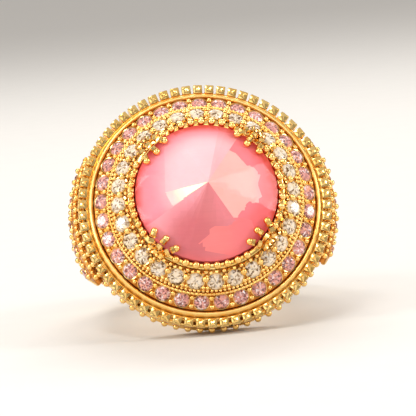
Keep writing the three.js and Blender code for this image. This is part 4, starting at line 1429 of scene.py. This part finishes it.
def soft_lamp(name, aim):
    place, width, height, power = LAMPS[name]
    data = bpy.data.lights.new(name, "AREA")
    data.shape, data.size, data.size_y = "RECTANGLE", width, height
    data.energy = power
    lamp = add_object(name, data)
    lamp.location = place
    lamp.rotation_euler = (Vector(aim) - Vector(place)).to_track_quat("-Z", "Y").to_euler()


def build_stage():
    build_floor()
    low, high = cad_box
    for name in LAMPS:
        soft_lamp(name, (low + high) / 2)
    world = bpy.data.worlds.new("studio")
    world.use_nodes = True
    tree = world.node_tree
    tree.nodes.clear()
    place = add_node(tree, "ShaderNodeTexCoord").outputs["Generated"]
    height = add_node(tree, "ShaderNodeSeparateXYZ", Vector=place).outputs[2]
    sky = colour_steps(tree, height, SKY, "EASE")
    background = add_node(tree, "ShaderNodeBackground", Color=sky, Strength=1.0)
    output = tree.nodes.new("ShaderNodeOutputWorld")
    tree.links.new(background.outputs[0], output.inputs[0])
    bpy.context.scene.world = world
    bpy.context.scene.view_settings.view_transform = "Standard"
    place_camera()


def build_floor():
    bm = bmesh.new()
    height = Matrix.Translation((0, 0, cad_box[0].z))
    bmesh.ops.create_grid(bm, x_segments=2, y_segments=2, size=FLOOR_SIZE, matrix=height)
    mesh = to_mesh("floor", bm)
    mesh.materials.append(made_once("materials", "pale floor", floor_material))
    floor = add_object("floor", mesh)


def place_camera():
    """Looks at the head a little from above and from its left, turned a little about its aim."""
    rim = ring_to_row() @ Vector((0, 0, ring_layout().rim_height))
    level = math.cos(CAMERA_HEIGHT)
    back = Vector((math.sin(CAMERA_SIDE) * level, -math.cos(CAMERA_SIDE) * level, math.sin(CAMERA_HEIGHT)))
    turn = back.to_track_quat("Z", "Y").to_matrix() @ Matrix.Rotation(CAMERA_ROLL, 3, "Z")
    right, up = turn.col[0], turn.col[1]
    aim = rim + right * AIM_RIGHT - up * AIM_DOWN
    data = bpy.data.cameras.new("camera")
    data.sensor_width = 36.0
    data.lens = data.sensor_width * CAMERA_DISTANCE / CAMERA_WIDTH
    data.clip_start, data.clip_end = 0.01, 20.0
    camera = add_object("camera", data)
    camera.location = aim + back * CAMERA_DISTANCE
    camera.rotation_euler = turn.to_euler()
    bpy.context.scene.camera = camera


# ---- Operators, panel and registration ----
class RING_OT_centre_stone(bpy.types.Operator):
    """Cut the round centre stone and colour its facets"""

    bl_idname = "ring.centre_stone"
    bl_label = "Centre stone"

    def execute(self, context):
        build_centre_stone()
        return {"FINISHED"}


class RING_OT_small_stones(bpy.types.Operator):
    """Set the rows of clear and pink stones"""

    bl_idname = "ring.small_stones"
    bl_label = "Clear and pink stones"

    def execute(self, context):
        s = ring_layout()
        build_row("clear_stones", s.clear, 3, numbered("clear_stone", s.clear.count))
        build_row("pink_stones", s.pink, 5, ["pink_stone_row"])
        return {"FINISHED"}


class RING_OT_dome(bpy.types.Operator):
    """Make the dome that holds the small stones, and the grain wire on its ledge"""

    bl_idname = "ring.dome"
    bl_label = "Dome and grain wire"

    def execute(self, context):
        build_dome()
        build_grain_wire()
        return {"FINISHED"}


class RING_OT_cup(bpy.types.Operator):
    """Make the centre stone's beaded cup"""

    bl_idname = "ring.cup"
    bl_label = "Stone cup"

    def execute(self, context):
        build_cup()
        return {"FINISHED"}


class RING_OT_claws(bpy.types.Operator):
    """Make the four three-fingered claws"""

    bl_idname = "ring.claws"
    bl_label = "Claws"

    def execute(self, context):
        for name, angle in zip(CLAW_NAMES, ring_layout().claw_angles):
            build_claw(name, angle)
        return {"FINISHED"}


class RING_OT_rim(bpy.types.Operator):
    """Make the polished rim and the studs round it"""

    bl_idname = "ring.rim"
    bl_label = "Rim and studs"

    def execute(self, context):
        build_rim()
        build_fence()
        return {"FINISHED"}


class RING_OT_gallery(bpy.types.Operator):
    """Make the pierced gallery, its bead wire, the base wire and the base plate"""

    bl_idname = "ring.gallery"
    bl_label = "Gallery and base"

    def execute(self, context):
        build_gallery()
        build_bead_wire()
        build_base_wire()
        build_base_plate()
        return {"FINISHED"}


class RING_OT_band(bpy.types.Operator):
    """Make the finger band and its two set shoulders"""

    bl_idname = "ring.band"
    bl_label = "Band and shoulders"

    def execute(self, context):
        build_band()
        build_shoulder("right", 0)
        build_shoulder("left", math.pi)
        return {"FINISHED"}


class RING_OT_stage(bpy.types.Operator):
    """Lay the floor and set the lights and the camera"""

    bl_idname = "ring.stage"
    bl_label = "Stage"

    def execute(self, context):
        build_stage()
        return {"FINISHED"}


STEPS = (
    RING_OT_centre_stone,
    RING_OT_small_stones,
    RING_OT_dome,
    RING_OT_cup,
    RING_OT_claws,
    RING_OT_rim,
    RING_OT_gallery,
    RING_OT_band,
    RING_OT_stage,
)


class RING_PT_make(bpy.types.Panel):
    """Lists the ring's pieces and the values that shape them"""

    bl_idname = "RING_PT_make"
    bl_label = "Cocktail ring"
    bl_space_type = "VIEW_3D"
    bl_region_type = "UI"
    bl_category = "Ring"

    def draw(self, context):
        for step in STEPS:
            self.layout.operator(step.bl_idname)
        for group in (context.scene.ring_sizes, context.scene.ring_colours):
            box = self.layout.box()
            for key in group.__annotations__:
                box.prop(group, key)


CLASSES = (RingSizes, RingColours, *STEPS, RING_PT_make)


def register():
    for item in CLASSES:
        bpy.utils.register_class(item)
    bpy.types.Scene.ring_sizes = PointerProperty(type=RingSizes)
    bpy.types.Scene.ring_colours = PointerProperty(type=RingColours)


def unregister():
    del bpy.types.Scene.ring_colours
    del bpy.types.Scene.ring_sizes
    for item in reversed(CLASSES):
        bpy.utils.unregister_class(item)


def main():
    register()
    for step in STEPS:
        group, name = step.bl_idname.split(".")
        getattr(getattr(bpy.ops, group), name)()


if __name__ == "__main__":
    main()
